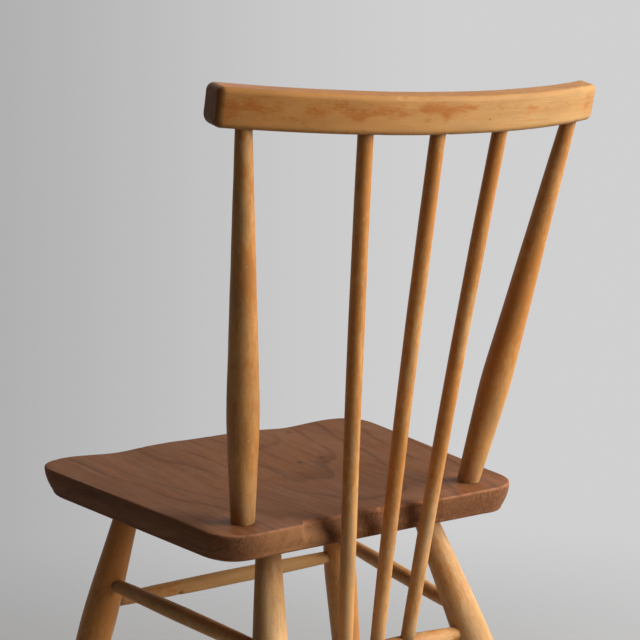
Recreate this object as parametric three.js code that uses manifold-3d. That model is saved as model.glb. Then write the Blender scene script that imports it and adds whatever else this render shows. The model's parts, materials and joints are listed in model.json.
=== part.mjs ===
// A stick-back side chair: a saddled plank seat on four splayed legs, with a bent crest rail
// on two turned posts and three thin spindles that pass behind the seat to the rear stretcher.
// Millimetres, +Z up. The chair faces -Y, and +X is the sitter's left.
import * as THREE from 'three';
import { mergeVertices } from 'three/addons/utils/BufferGeometryUtils.js';
import Module from 'manifold-3d';

const wasm = await Module();
wasm.setup();

const { degToRad, clamp } = THREE.MathUtils;

// Seat: plan, section and the hollows of its saddled top
const SEAT_HEIGHT = 430; // floor to the seat's top at the posts
const SEAT_TILT = degToRad(1.5); // front edge up
const SEAT_FRONT_WIDTH = 362; // between the front corners, before they are rounded
const SEAT_REAR_WIDTH = 301; // between the rear corners, before they are rounded
const SEAT_DEPTH = 300;
const SEAT_FRONT_CORNER = 40;
const SEAT_REAR_CORNER = 46;
const SEAT_THICKNESS = 30;
const SEAT_RIM_HEIGHT = 24; // the edge that shows, above the bevelled underside
const SEAT_UNDERCUT = 5.5; // how far the edge leans in towards its foot
const SEAT_UNDERSIDE_BEVEL = 40;
const SEAT_TOP_ARRIS = 2.5;
const SEAT_LOWER_ARRIS = 4;
const DISH_DEPTH = 6;
const DISH_REACH_X = 95;
const DISH_REACH_Y = 80;
const DISH_BEHIND_FRONT = 175;
const THIGH_DIP = 2.5; // at the front edge, one under each thigh
const THIGH_SPACING = 190;
const THIGH_REACH_X = 30;
const THIGH_REACH_Y = 110;

// Recess in the seat's rear edge, behind which the spindles pass
const RECESS_WIDTH = 140;
const RECESS_DEPTH = 7;
const RECESS_OFFSET = 9; // cut a little to the left of the middle
const RECESS_END_RUN = 4; // run of each slanted end

// Posts and spindles
const BACK_LEAN = degToRad(14.2);
const BACK_HEIGHT = 313; // seat top to the underside of the rail, upright, at the posts
const POST_INSET = 33.5; // from the seat's rear edge
const POST_SIDE_INSET = 38.6; // from the seat's side edge
const POST_SPLAY = degToRad(7.4);
const POST_FOOT = 19.5;
const POST_SWELL = 26;
const POST_SWELL_AT = 93; // above the seat, along the post
const POST_HEAD = 12.6;
const SPINDLE_HEAD_SPACING = 64.4; // along the crest rail
const SPINDLE_FOOT_SPACING = 31.4; // along the rear stretcher
const SPINDLE_FOOT_SETBACK = 1.5; // behind the rear stretcher's axis
const SPINDLE_MIDDLE = 13;
const SPINDLE_END = 12;
const SPINDLE_BOW = 2.4; // how far the middle stands forward

// Crest rail
const RAIL_OVERHANG = 24; // past each post's axis, straight across
const RAIL_HEIGHT = 30;
const RAIL_THICKNESS = 20;
const RAIL_RADIUS = 470; // of the bend, at mid-thickness
const RAIL_TOP_ARRIS = 4;
const RAIL_LOWER_ARRIS = 5;
const RAIL_END_TOP_CORNER = 5;
const RAIL_END_LOWER_CORNER = 5;

// Legs, from their places under the seat to their feet
const LEG_FRONT_SETBACK = 61; // behind the seat's front edge
const LEG_FRONT_SIDE_INSET = 64.8; // from the seat's side edge
const LEG_FRONT_SPLAY = degToRad(12.2);
const LEG_FRONT_RAKE = degToRad(11.3);
const LEG_REAR_SETBACK = 52; // ahead of the seat's rear edge
const LEG_REAR_SIDE_INSET = 75.5; // from the seat's side edge
const LEG_REAR_SPLAY = degToRad(12.7);
const LEG_REAR_RAKE = degToRad(20.5);
const LEG_HEAD = 20.5;
const LEG_SWELL = 32;
const LEG_SWELL_AT = 118; // below the seat, along the leg
const LEG_FOOT = 20;

// Stretchers, at their heights above the floor
const STRETCHER_FRONT_HEIGHT = 305.5;
const STRETCHER_SIDE_FRONT_HEIGHT = 325.5;
const STRETCHER_SIDE_REAR_HEIGHT = 319;
const STRETCHER_REAR_HEIGHT = 301;
const STRETCHER_MIDDLE = 14.5;
const STRETCHER_REAR_MIDDLE = 20;
const STRETCHER_END = 12;

// Sockets: how deep each kind of piece is bored, and the room round a stick's end
const CLEARANCE = 0.3;
const SEAT_SOCKET_DEPTH = 18;
const RAIL_SOCKET_DEPTH = 18;
const LEG_SOCKET_DEPTH = 20;
const STRETCHER_SOCKET_DEPTH = 12;
const SOCKET_LEAD = 12; // how far a boring starts outside the piece

// Facets
const LEG_SIDES = 20;
const POST_SIDES = 20;
const STRETCHER_SIDES = 16;
const SPINDLE_SIDES = 16;
const STICK_STEPS = 14;
const OUTLINE_STEP = 15;
const RAIL_STEPS = 28;
const ARC_STEPS = 3;
const SEAT_TOP_RINGS = [0, 0.14, 0.28, 0.42, 0.56, 0.7, 0.82, 0.92]; // shares of the plan

const beech = new THREE.MeshStandardMaterial({ color: 0xc48a47, roughness: 0.5, metalness: 0 });
const wornBeech = new THREE.MeshStandardMaterial({ color: 0xd29a55, roughness: 0.6, metalness: 0 });
const elm = new THREE.MeshStandardMaterial({ color: 0x6f432b, roughness: 0.5, metalness: 0 });

// Plan lines, measured from the posts' feet
const SEAT_REAR = POST_INSET;
const SEAT_FRONT = SEAT_REAR - SEAT_DEPTH;
const SEAT_MIDDLE = (SEAT_REAR + SEAT_FRONT) / 2;

// Half the seat's width at a plan line, before the corners are rounded
function seatSide(y) {
  const widening = (SEAT_FRONT_WIDTH - SEAT_REAR_WIDTH) / SEAT_DEPTH;
  return (SEAT_REAR_WIDTH + widening * (SEAT_REAR - y)) / 2;
}

const vec = (x, y, z) => new THREE.Vector3(x, y, z);

// Joining and cutting
const WELD_DISTANCE = 1e-4;

function toSolid(geometry) {
  const bare = geometry.clone();
  bare.deleteAttribute('normal');
  bare.deleteAttribute('uv');
  const merged = mergeVertices(bare, WELD_DISTANCE);
  const vertProperties = new Float32Array(merged.attributes.position.array);
  const triVerts = new Uint32Array(merged.index.array);
  return new wasm.Manifold(new wasm.Mesh({ numProp: 3, vertProperties, triVerts }));
}

function toGeometry(solid) {
  const mesh = solid.getMesh();
  const geometry = new THREE.BufferGeometry();
  geometry.setAttribute('position', new THREE.BufferAttribute(mesh.vertProperties, 3));
  geometry.setIndex(new THREE.BufferAttribute(mesh.triVerts, 1));
  geometry.computeVertexNormals();
  return geometry;
}

function cutAll(geometry, cutters) {
  const rest = cutters.reduce((solid, cutter) => solid.subtract(toSolid(cutter)), toSolid(geometry));
  return toGeometry(rest);
}

// Moves every vertex of a geometry to where place sends it
function reshape(geometry, place) {
  const { position } = geometry.attributes;
  const point = vec(0, 0, 0);
  for (let i = 0; i < position.count; i += 1) {
    place(point.fromBufferAttribute(position, i), i);
    position.setXYZ(i, point.x, point.y, point.z);
  }
  return geometry;
}

// Turnings. A profile gives the diameter at a share of the stick's length, from foot to head:
// a belly is two straight tapers that meet softly, and a barrel is a slight even swell.
const BELLY_SOFTNESS = 1.1;

function belly(foot, swell, swellShare, head) {
  const peak = swell + BELLY_SOFTNESS * Math.LN2;
  return (share) => {
    const rising = foot + ((peak - foot) * share) / swellShare;
    const falling = head + ((peak - head) * (1 - share)) / (1 - swellShare);
    const sum = Math.exp(-rising / BELLY_SOFTNESS) + Math.exp(-falling / BELLY_SOFTNESS);
    return -BELLY_SOFTNESS * Math.log(sum);
  };
}

function barrel(end, middle) {
  return (share) => end + (middle - end) * 4 * share * (1 - share);
}

const lengthOf = (stick) => stick.head.distanceTo(stick.foot);
const directionOf = (stick) => stick.head.clone().sub(stick.foot).normalize();

// The frame of a stick: its length along Y, and its bow towards Z, which faces the front, or up on
// a stick that runs back
const RUNS_BACK = 0.9; // of a unit direction

function stickFrame(stick) {
  const along = directionOf(stick);
  const towards = Math.abs(along.y) > RUNS_BACK ? vec(0, 0, 1) : vec(0, -1, 0);
  const across = along.clone().cross(towards).normalize();
  const front = across.clone().cross(along);
  return new THREE.Matrix4().makeBasis(across, along, front).setPosition(stick.foot);
}

// The turned surface through rows at the given distances along a stick, swollen by margin
function turn(stick, rows, margin) {
  const length = lengthOf(stick);
  const radiusAt = (row) => stick.profile(clamp(row / length, 0, 1)) / 2 + margin;
  const skin = rows.map((row) => new THREE.Vector2(radiusAt(row), row));
  const points = [new THREE.Vector2(0, rows[0]), ...skin, new THREE.Vector2(0, rows.at(-1))];
  const bow = stick.bow ?? 0;
  const bend = (point) => {
    const share = point.y / length;
    point.z += bow * 4 * share * (1 - share);
  };
  return reshape(new THREE.LatheGeometry(points, stick.sides), bend).applyMatrix4(stickFrame(stick));
}

// The whole stick with what goes into its sockets, and the two sockets themselves
function wholeStick(stick) {
  const length = lengthOf(stick);
  const shown = Array.from({ length: STICK_STEPS + 1 }, (_, i) => (length * i) / STICK_STEPS);
  return turn(stick, [-stick.footTenon, ...shown, length + stick.headTenon], 0);
}

function footSocket(stick) {
  return turn(stick, [-stick.footTenon - CLEARANCE, 0, SOCKET_LEAD], CLEARANCE);
}

function headSocket(stick) {
  const length = lengthOf(stick);
  return turn(stick, [length - SOCKET_LEAD, length, length + stick.headTenon + CLEARANCE], CLEARANCE);
}

// The seat's flat planes and its saddled top, as heights above the floor
const seatPlane = (y) => SEAT_HEIGHT - Math.tan(SEAT_TILT) * y;
const bump = (offset, reach) => Math.exp(-((offset / reach) ** 2));

function seatTop(x, y) {
  const ahead = y - SEAT_FRONT;
  const dish = DISH_DEPTH * bump(x, DISH_REACH_X) * bump(ahead - DISH_BEHIND_FRONT, DISH_REACH_Y);
  const thigh = THIGH_DIP * bump(Math.abs(x) - THIGH_SPACING / 2, THIGH_REACH_X) * bump(ahead, THIGH_REACH_Y);
  return seatPlane(y) - dish - thigh;
}

// The seat's plan, counterclockwise from the rear left, with the recess in its rear edge
function seatOutline() {
  const front = SEAT_FRONT_WIDTH / 2;
  const rear = SEAT_REAR_WIDTH / 2;
  const rearCornerY = SEAT_REAR - SEAT_REAR_CORNER;
  const frontCornerY = SEAT_FRONT + SEAT_FRONT_CORNER;
  const recessFloor = SEAT_REAR - RECESS_DEPTH;
  const recessLeft = RECESS_OFFSET + RECESS_WIDTH / 2;
  const recessRight = RECESS_OFFSET - RECESS_WIDTH / 2;
  const shape = new THREE.Shape();
  shape.moveTo(rear - SEAT_REAR_CORNER, SEAT_REAR);
  shape.lineTo(recessLeft, SEAT_REAR);
  shape.lineTo(recessLeft - RECESS_END_RUN, recessFloor);
  shape.lineTo(recessRight + RECESS_END_RUN, recessFloor);
  shape.lineTo(recessRight, SEAT_REAR);
  shape.lineTo(SEAT_REAR_CORNER - rear, SEAT_REAR);
  shape.quadraticCurveTo(-rear, SEAT_REAR, -seatSide(rearCornerY), rearCornerY);
  shape.lineTo(-seatSide(frontCornerY), frontCornerY);
  shape.quadraticCurveTo(-front, SEAT_FRONT, SEAT_FRONT_CORNER - front, SEAT_FRONT);
  shape.lineTo(front - SEAT_FRONT_CORNER, SEAT_FRONT);
  shape.quadraticCurveTo(front, SEAT_FRONT, seatSide(frontCornerY), frontCornerY);
  shape.lineTo(seatSide(rearCornerY), rearCornerY);
  shape.quadraticCurveTo(rear, SEAT_REAR, rear - SEAT_REAR_CORNER, SEAT_REAR);
  return shape.curves.flatMap((curve) => {
    const count = Math.max(1, Math.round(curve.getLength() / OUTLINE_STEP));
    return curve.getSpacedPoints(count).slice(0, -1);
  });
}

// The seat's surface as rings of its outline, from the middle of the top, over the edge, to the
// middle of the underside. Each ring is drawn in by shares of the plan and has a height.
function seatRings() {
  const drawnIn = (inset) => [1 - inset / (SEAT_FRONT_WIDTH / 2), 1 - inset / (SEAT_DEPTH / 2)];
  const below = (depth) => (x, y) => seatPlane(y) - depth;
  const quarter = Array.from({ length: ARC_STEPS + 1 }, (_, i) => (i / ARC_STEPS) * (Math.PI / 2));
  const top = SEAT_TOP_RINGS.map((share) => ({ shares: [share, share], height: seatTop }));
  const topArris = quarter.map((angle) => ({
    shares: drawnIn(SEAT_TOP_ARRIS * (1 - Math.sin(angle))),
    height: (x, y) => seatTop(x, y) - SEAT_TOP_ARRIS * (1 - Math.cos(angle)),
  }));
  const lowerArris = quarter.map((angle) => ({
    shares: drawnIn(SEAT_UNDERCUT + SEAT_LOWER_ARRIS * (1 - Math.cos(angle))),
    height: below(SEAT_RIM_HEIGHT - SEAT_LOWER_ARRIS * (1 - Math.sin(angle))),
  }));
  const bevelFoot = drawnIn(SEAT_UNDERCUT + SEAT_LOWER_ARRIS + SEAT_UNDERSIDE_BEVEL);
  const underside = [
    { shares: bevelFoot, height: below(SEAT_THICKNESS) },
    { shares: [0, 0], height: below(SEAT_THICKNESS) },
  ];
  return [...top, ...topArris, ...lowerArris, ...underside];
}

function seatBlank() {
  const outline = seatOutline();
  const rings = seatRings();
  const around = outline.length;
  const place = (point, index) => {
    const { shares, height } = rings[Math.floor(index / (around + 1))];
    const corner = outline[(index % (around + 1)) % around];
    point.x = corner.x * shares[0];
    point.y = SEAT_MIDDLE + (corner.y - SEAT_MIDDLE) * shares[1];
    point.z = height(point.x, point.y);
  };
  return reshape(new THREE.SphereGeometry(1, around, rings.length - 1), place);
}

// The crest rail lies in a frame that leans with the posts: u across, back and up
const postFoot = (side) => vec(side * (seatSide(0) - POST_SIDE_INSET), 0, SEAT_HEIGHT);
const postRise = vec(Math.tan(POST_SPLAY), Math.tan(BACK_LEAN), 1).multiplyScalar(BACK_HEIGHT);
const postHead = (side) => postFoot(side).add(vec(side * postRise.x, postRise.y, postRise.z));
const railSag = (u) => Math.sqrt(RAIL_RADIUS ** 2 - u ** 2);
const railMiddle = (u) => railSag(u) - railSag(postHead(1).x);
const railHalf = () => postHead(1).x + RAIL_OVERHANG;

function onRail(u, back, up) {
  const { y, z } = postHead(1);
  const lean = { sin: Math.sin(BACK_LEAN), cos: Math.cos(BACK_LEAN) };
  return vec(u, y + back * lean.cos + up * lean.sin, z - back * lean.sin + up * lean.cos);
}

function railSection() {
  const half = RAIL_THICKNESS / 2;
  const shape = new THREE.Shape();
  const right = Math.PI / 2;
  shape.moveTo(RAIL_LOWER_ARRIS - half, 0);
  shape.lineTo(half - RAIL_LOWER_ARRIS, 0);
  shape.absarc(half - RAIL_LOWER_ARRIS, RAIL_LOWER_ARRIS, RAIL_LOWER_ARRIS, -right, 0);
  shape.absarc(half - RAIL_TOP_ARRIS, RAIL_HEIGHT - RAIL_TOP_ARRIS, RAIL_TOP_ARRIS, 0, right);
  shape.absarc(RAIL_TOP_ARRIS - half, RAIL_HEIGHT - RAIL_TOP_ARRIS, RAIL_TOP_ARRIS, right, 2 * right);
  shape.absarc(RAIL_LOWER_ARRIS - half, RAIL_LOWER_ARRIS, RAIL_LOWER_ARRIS, 2 * right, 3 * right);
  return shape;
}

// The rail as seen square on: its sawn and rounded ends. It stands a hair proud above and below,
// so that only the ends are cut.
const RAIL_END_EASE = 0.2;

function railElevation() {
  const half = railHalf();
  const low = -RAIL_END_EASE;
  const high = RAIL_HEIGHT + RAIL_END_EASE;
  const right = Math.PI / 2;
  const shape = new THREE.Shape();
  shape.moveTo(RAIL_END_LOWER_CORNER - half, low);
  const lowerCorner = low + RAIL_END_LOWER_CORNER;
  const topCorner = high - RAIL_END_TOP_CORNER;
  shape.absarc(half - RAIL_END_LOWER_CORNER, lowerCorner, RAIL_END_LOWER_CORNER, -right, 0);
  shape.absarc(half - RAIL_END_TOP_CORNER, topCorner, RAIL_END_TOP_CORNER, 0, right);
  shape.absarc(RAIL_END_TOP_CORNER - half, topCorner, RAIL_END_TOP_CORNER, right, 2 * right);
  shape.absarc(RAIL_END_LOWER_CORNER - half, lowerCorner, RAIL_END_LOWER_CORNER, 2 * right, 3 * right);
  return shape;
}

function crestRailBlank() {
  const innerRadius = RAIL_RADIUS - RAIL_THICKNESS / 2;
  const stock = 2 * (RAIL_RADIUS * Math.asin(railHalf() / innerRadius) + RAIL_THICKNESS);
  const board = new THREE.ExtrudeGeometry(railSection(), {
    depth: stock, steps: RAIL_STEPS, bevelEnabled: false, curveSegments: ARC_STEPS,
  });
  const steam = (point) => {
    const angle = (point.z - stock / 2) / RAIL_RADIUS;
    const radius = RAIL_RADIUS + point.x;
    const back = radius * Math.cos(angle) - railSag(postHead(1).x);
    point.copy(onRail(radius * Math.sin(angle), back, point.y));
  };
  reshape(board, steam);
  const saw = new THREE.ExtrudeGeometry(railElevation(), {
    depth: RAIL_RADIUS, bevelEnabled: false, curveSegments: ARC_STEPS,
  });
  reshape(saw, (point) => point.copy(onRail(point.x, RAIL_RADIUS / 2 - point.z, point.y)));
  return toGeometry(toSolid(board).intersect(toSolid(saw)));
}

// Sticks, left ones with side 1 and right ones with side -1
function makePost(side) {
  const foot = postFoot(side);
  const head = postHead(side);
  const profile = belly(POST_FOOT, POST_SWELL, POST_SWELL_AT / head.distanceTo(foot), POST_HEAD);
  return {
    foot, head, profile, sides: POST_SIDES, footTenon: SEAT_SOCKET_DEPTH, headTenon: RAIL_SOCKET_DEPTH,
  };
}

function makeLeg(x, y, splay, rake) {
  const underside = seatPlane(y) - SEAT_THICKNESS;
  const head = vec(x, y, underside);
  const foot = vec(x + Math.tan(splay) * underside, y + Math.tan(rake) * underside, 0);
  const profile = belly(LEG_FOOT, LEG_SWELL, 1 - LEG_SWELL_AT / head.distanceTo(foot), LEG_HEAD);
  return { foot, head, profile, sides: LEG_SIDES, footTenon: LEG_FOOT / 2, headTenon: SEAT_SOCKET_DEPTH };
}

function makeFrontLeg(side) {
  const y = SEAT_FRONT + LEG_FRONT_SETBACK;
  return makeLeg(side * (seatSide(y) - LEG_FRONT_SIDE_INSET), y, side * LEG_FRONT_SPLAY, -LEG_FRONT_RAKE);
}

function makeRearLeg(side) {
  const y = SEAT_REAR - LEG_REAR_SETBACK;
  return makeLeg(side * (seatSide(y) - LEG_REAR_SIDE_INSET), y, side * LEG_REAR_SPLAY, LEG_REAR_RAKE);
}

// A point on a stick's axis at a height, and the stick's radius there
function axisAt(stick, height) {
  const share = (height - stick.foot.z) / (stick.head.z - stick.foot.z);
  return { point: stick.foot.clone().lerp(stick.head, share), radius: stick.profile(share) / 2 };
}

function makeStretcher(from, to, middle) {
  const along = to.point.clone().sub(from.point).normalize();
  return {
    foot: from.point.clone().addScaledVector(along, from.radius),
    head: to.point.clone().addScaledVector(along, -to.radius),
    profile: barrel(STRETCHER_END, middle),
    sides: STRETCHER_SIDES,
    footTenon: LEG_SOCKET_DEPTH,
    headTenon: LEG_SOCKET_DEPTH,
  };
}

function makeSpindle(place, rearStretcher) {
  const axis = rearStretcher.foot.clone().lerp(rearStretcher.head, 0.5);
  const socket = vec(place * SPINDLE_FOOT_SPACING, axis.y + SPINDLE_FOOT_SETBACK, axis.z);
  const u = place * SPINDLE_HEAD_SPACING;
  const head = onRail(u, railMiddle(u), 0);
  const share = 0.5 - socket.x / lengthOf(rearStretcher);
  const along = head.clone().sub(socket).normalize();
  return {
    foot: socket.addScaledVector(along, rearStretcher.profile(share) / 2),
    head,
    profile: barrel(SPINDLE_END, SPINDLE_MIDDLE),
    sides: SPINDLE_SIDES,
    bow: SPINDLE_BOW,
    footTenon: STRETCHER_SOCKET_DEPTH,
    headTenon: RAIL_SOCKET_DEPTH,
  };
}

const posts = { left: makePost(1), right: makePost(-1) };
const frontLegs = { left: makeFrontLeg(1), right: makeFrontLeg(-1) };
const rearLegs = { left: makeRearLeg(1), right: makeRearLeg(-1) };

function acrossLegs(legs, height, middle) {
  return makeStretcher(axisAt(legs.left, height), axisAt(legs.right, height), middle);
}

function alongSide(side) {
  const front = axisAt(frontLegs[side], STRETCHER_SIDE_FRONT_HEIGHT);
  const rear = axisAt(rearLegs[side], STRETCHER_SIDE_REAR_HEIGHT);
  return makeStretcher(front, rear, STRETCHER_MIDDLE);
}

const stretchers = {
  front: acrossLegs(frontLegs, STRETCHER_FRONT_HEIGHT, STRETCHER_MIDDLE),
  rear: acrossLegs(rearLegs, STRETCHER_REAR_HEIGHT, STRETCHER_REAR_MIDDLE),
  left: alongSide('left'),
  right: alongSide('right'),
};
const spindles = {
  left: makeSpindle(1, stretchers.rear),
  centre: makeSpindle(0, stretchers.rear),
  right: makeSpindle(-1, stretchers.rear),
};

// The floor, which the feet are cut flat to
function floorBlock() {
  const size = 4 * SEAT_HEIGHT;
  return new THREE.BoxGeometry(size, size, size).translate(0, 0, -size / 2);
}

const chair = new THREE.Group();

function addPiece(name, geometry, material) {
  const mesh = new THREE.Mesh(geometry, material);
  mesh.name = name;
  chair.add(mesh);
}

const sides = ['left', 'right'];

const seatSockets = [
  ...sides.map((side) => footSocket(posts[side])),
  ...sides.map((side) => headSocket(frontLegs[side])),
  ...sides.map((side) => headSocket(rearLegs[side])),
];
addPiece('seat', cutAll(seatBlank(), seatSockets), elm);

for (const side of sides) {
  const endOf = (stretcher) => (side === 'left' ? footSocket(stretcher) : headSocket(stretcher));
  const frontCuts = [endOf(stretchers.front), footSocket(stretchers[side]), floorBlock()];
  const rearCuts = [endOf(stretchers.rear), headSocket(stretchers[side]), floorBlock()];
  addPiece(`leg_front_${side}`, cutAll(wholeStick(frontLegs[side]), frontCuts), beech);
  addPiece(`leg_rear_${side}`, cutAll(wholeStick(rearLegs[side]), rearCuts), beech);
  addPiece(`stretcher_${side}`, wholeStick(stretchers[side]), beech);
  addPiece(`post_${side}`, wholeStick(posts[side]), beech);
}

const spindleList = Object.entries(spindles);
const spindleFeet = spindleList.map(([, spindle]) => footSocket(spindle));
addPiece('stretcher_front', wholeStick(stretchers.front), wornBeech);
addPiece('stretcher_rear', cutAll(wholeStick(stretchers.rear), spindleFeet), beech);
for (const [place, spindle] of spindleList) {
  addPiece(`spindle_${place}`, wholeStick(spindle), beech);
}

const railSockets = [...Object.values(posts), ...Object.values(spindles)].map(headSocket);
addPiece('crest_rail', cutAll(crestRailBlank(), railSockets), wornBeech);

// The origin is on the floor, in the middle of the chair's outline
const reach = new THREE.Box3().setFromObject(chair);
chair.position.y = -(reach.min.y + reach.max.y) / 2;

export default chair;
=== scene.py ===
"""Looks of a stick-back side chair: turned beech in worn varnish round a saddled elm seat.

Every surface is worked out with numpy in the chair's own frame, in millimetres, and stands for
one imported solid. Plan lines are measured from the posts' feet, as in the part itself.
"""

from __future__ import annotations

import json
import logging
import math
from collections.abc import Callable
from dataclasses import dataclass, field
from enum import Enum

import bpy
import numpy as np
from mathutils import Matrix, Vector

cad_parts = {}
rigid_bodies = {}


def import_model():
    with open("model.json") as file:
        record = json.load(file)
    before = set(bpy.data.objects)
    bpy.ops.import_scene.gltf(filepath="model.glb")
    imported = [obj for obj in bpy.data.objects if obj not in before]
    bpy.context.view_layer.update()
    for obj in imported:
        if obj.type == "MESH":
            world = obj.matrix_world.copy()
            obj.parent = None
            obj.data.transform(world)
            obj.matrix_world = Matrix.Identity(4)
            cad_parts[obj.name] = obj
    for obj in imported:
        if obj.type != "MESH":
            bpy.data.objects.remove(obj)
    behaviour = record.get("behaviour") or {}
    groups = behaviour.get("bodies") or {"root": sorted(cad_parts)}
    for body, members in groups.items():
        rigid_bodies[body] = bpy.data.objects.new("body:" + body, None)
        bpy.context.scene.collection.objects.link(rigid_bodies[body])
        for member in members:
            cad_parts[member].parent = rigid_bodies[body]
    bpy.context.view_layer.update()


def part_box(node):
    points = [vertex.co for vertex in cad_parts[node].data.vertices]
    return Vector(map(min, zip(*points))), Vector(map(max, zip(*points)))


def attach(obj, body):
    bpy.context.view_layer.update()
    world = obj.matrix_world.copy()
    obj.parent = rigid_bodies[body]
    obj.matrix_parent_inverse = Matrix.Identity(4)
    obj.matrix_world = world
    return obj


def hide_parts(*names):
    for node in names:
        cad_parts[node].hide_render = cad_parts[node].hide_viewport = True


LOG = logging.getLogger("chair")
MM = 0.001
BODY = "root"
RELIEF_DEPTH = 0.0003

Array = np.ndarray
Colour = tuple[float, float, float, float]
Profile = Callable[[Array], Array]


class Slot(Enum):
    """Material slots of the record."""

    ELM = "elm"
    BEECH = "beech"
    WORN_BEECH = "worn_beech"


class Side(Enum):
    """The sitter's sides, as signs of X."""

    LEFT = 1
    RIGHT = -1

    @property
    def word(self) -> str:
        """The side's name in lower case."""
        return self.name.lower()


# Plain helpers


def unit(vector: Array) -> Array:
    """A vector of length one in the same direction."""
    return vector / np.linalg.norm(vector)


def bump(offset: Array, reach: float) -> Array:
    """A bell curve: one at offset zero, fading over the reach."""
    return np.exp(-((offset / reach) ** 2))


def rise(value: Array, low: float, high: float) -> Array:
    """A smooth step from nought at low to one at high."""
    share = np.clip((value - low) / (high - low), 0.0, 1.0)
    return share * share * (3.0 - 2.0 * share)


def waves(seed: int, *coordinates: Array) -> Array:
    """A smooth uneven field of about unit height.

    The mean of a few sine waves, each with its own fixed direction and start.

    Args:
        seed: Picks the waves.
        coordinates: Arrays of one shape, already divided by the wanted reach.

    Returns:
        The field, in the same shape.
    """
    draw = np.random.default_rng(seed)
    count = 7
    turns = draw.normal(0.0, 2.2, (count, len(coordinates)))
    starts = draw.uniform(0.0, 2.0 * math.pi, count)
    phase = np.tensordot(turns, np.stack(coordinates), axes=1)
    starts = starts.reshape((count,) + (1,) * coordinates[0].ndim)
    return np.sin(phase + starts).sum(axis=0) / math.sqrt(count)


def belly(foot: float, swell: float, share: float, head: float) -> Profile:
    """Diameter of a swelling turning: two straight tapers that meet softly.

    Args:
        foot: Diameter at the foot.
        swell: Greatest diameter.
        share: Where the swell lies, as a share of the length.
        head: Diameter at the head.

    Returns:
        The diameter as a function of the share of the length.
    """
    softness = 1.1
    peak = swell + softness * math.log(2.0)

    def diameter(along: Array) -> Array:
        """The soft minimum of the rising and the falling taper."""
        rising = foot + (peak - foot) * along / share
        falling = head + (peak - head) * (1.0 - along) / (1.0 - share)
        return -softness * np.logaddexp(-rising / softness, -falling / softness)

    return diameter


def barrel(end: float, middle: float) -> Profile:
    """Diameter of a thin stick: a slight even swell, as a parabola between its ends."""
    return lambda along: end + (middle - end) * 4.0 * along * (1.0 - along)


# Surfaces


@dataclass
class Skin:
    """A closed surface made of loops of points from one pole to the other.

    Attributes:
        loops: Points in millimetres, rows by columns by three.
        marks: Named values at the points, rows by columns, or by three for a vector.
    """

    loops: Array
    marks: dict[str, Array]

    def normals(self) -> Array:
        """Outward unit normals: the cross product of the steps along and around."""
        around = np.roll(self.loops, -1, axis=1) - np.roll(self.loops, 1, axis=1)
        along = np.gradient(self.loops, axis=0)
        normal = np.cross(around, along)
        length = np.linalg.norm(normal, axis=2, keepdims=True)
        normal = normal / np.maximum(length, 1e-9)
        return normal if self.volume() > 0.0 else -normal

    def volume(self) -> float:
        """Signed volume of the tube of loops, from the triple products of its faces."""
        here = self.loops[:-1]
        beside = np.roll(self.loops, -1, axis=1)[:-1]
        above = self.loops[1:]
        across = np.roll(self.loops, -1, axis=1)[1:]
        middle = self.loops.mean(axis=(0, 1))
        first = np.cross(beside - middle, across - middle)
        second = np.cross(across - middle, above - middle)
        return float(((first + second) * (here - middle)).sum()) / 6.0

    def pressed(self, depth: Array) -> Skin:
        """The same surface pushed in along its normals.

        Args:
            depth: How far to push each point, in millimetres.

        Returns:
            The new surface, with the same marks.
        """
        return Skin(self.loops - self.normals() * depth[..., None], self.marks)

    def faces(self) -> tuple[Array, Array]:
        """Corner indices of all faces, and the number of corners of each.

        Quads join neighbouring loops, and a fan closes each pole.

        Returns:
            Corners and sizes.
        """
        rows, columns = self.loops.shape[:2]
        index = np.arange(rows * columns).reshape(rows, columns)
        if self.volume() < 0.0:
            index = index[:, ::-1]
        after = np.roll(index, -1, axis=1)
        quads = np.stack([index[:-1], after[:-1], after[1:], index[1:]], axis=-1).reshape(-1, 4)
        first = np.full(columns, rows * columns)
        foot = np.stack([first, after[0], index[0]], axis=-1)
        head = np.stack([first + 1, index[-1], after[-1]], axis=-1)
        corners = np.concatenate([quads.ravel(), foot.ravel(), head.ravel()])
        sizes = np.concatenate([np.full(len(quads), 4), np.full(2 * columns, 3)])
        return corners, sizes

    def with_poles(self, values: Array) -> Array:
        """Values as one list of points, with the mean of each end loop for its pole."""
        ends = np.stack([values[0].mean(axis=0), values[-1].mean(axis=0)])
        return np.concatenate([values.reshape(-1, *values.shape[2:]), ends])

    def to_mesh(self, name: str, offset: Array) -> bpy.types.Mesh:
        """Writes the surface into a mesh, in metres.

        Args:
            name: The mesh's name.
            offset: Shift of the whole surface, in millimetres.

        Returns:
            The mesh, with its marks as point attributes.
        """
        mesh = bpy.data.meshes.new(name)
        points = self.with_poles(self.loops) + offset
        corners, sizes = self.faces()
        starts = np.concatenate([[0], np.cumsum(sizes)[:-1]])
        mesh.vertices.add(len(points))
        mesh.vertices.foreach_set("co", (points * MM).astype(np.float32).ravel())
        mesh.loops.add(len(corners))
        mesh.loops.foreach_set("vertex_index", corners.astype(np.int32))
        mesh.polygons.add(len(sizes))
        mesh.polygons.foreach_set("loop_start", starts.astype(np.int32))
        mesh.polygons.foreach_set("use_smooth", np.ones(len(sizes), dtype=bool))
        mesh.update(calc_edges=True)
        for mark, values in self.marks.items():
            vector = values.ndim == 3
            kind, key = ("FLOAT_VECTOR", "vector") if vector else ("FLOAT", "value")
            layer = mesh.attributes.new(mark, kind, "POINT")
            layer.data.foreach_set(key, self.with_poles(values).astype(np.float32).ravel())
        return mesh


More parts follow.
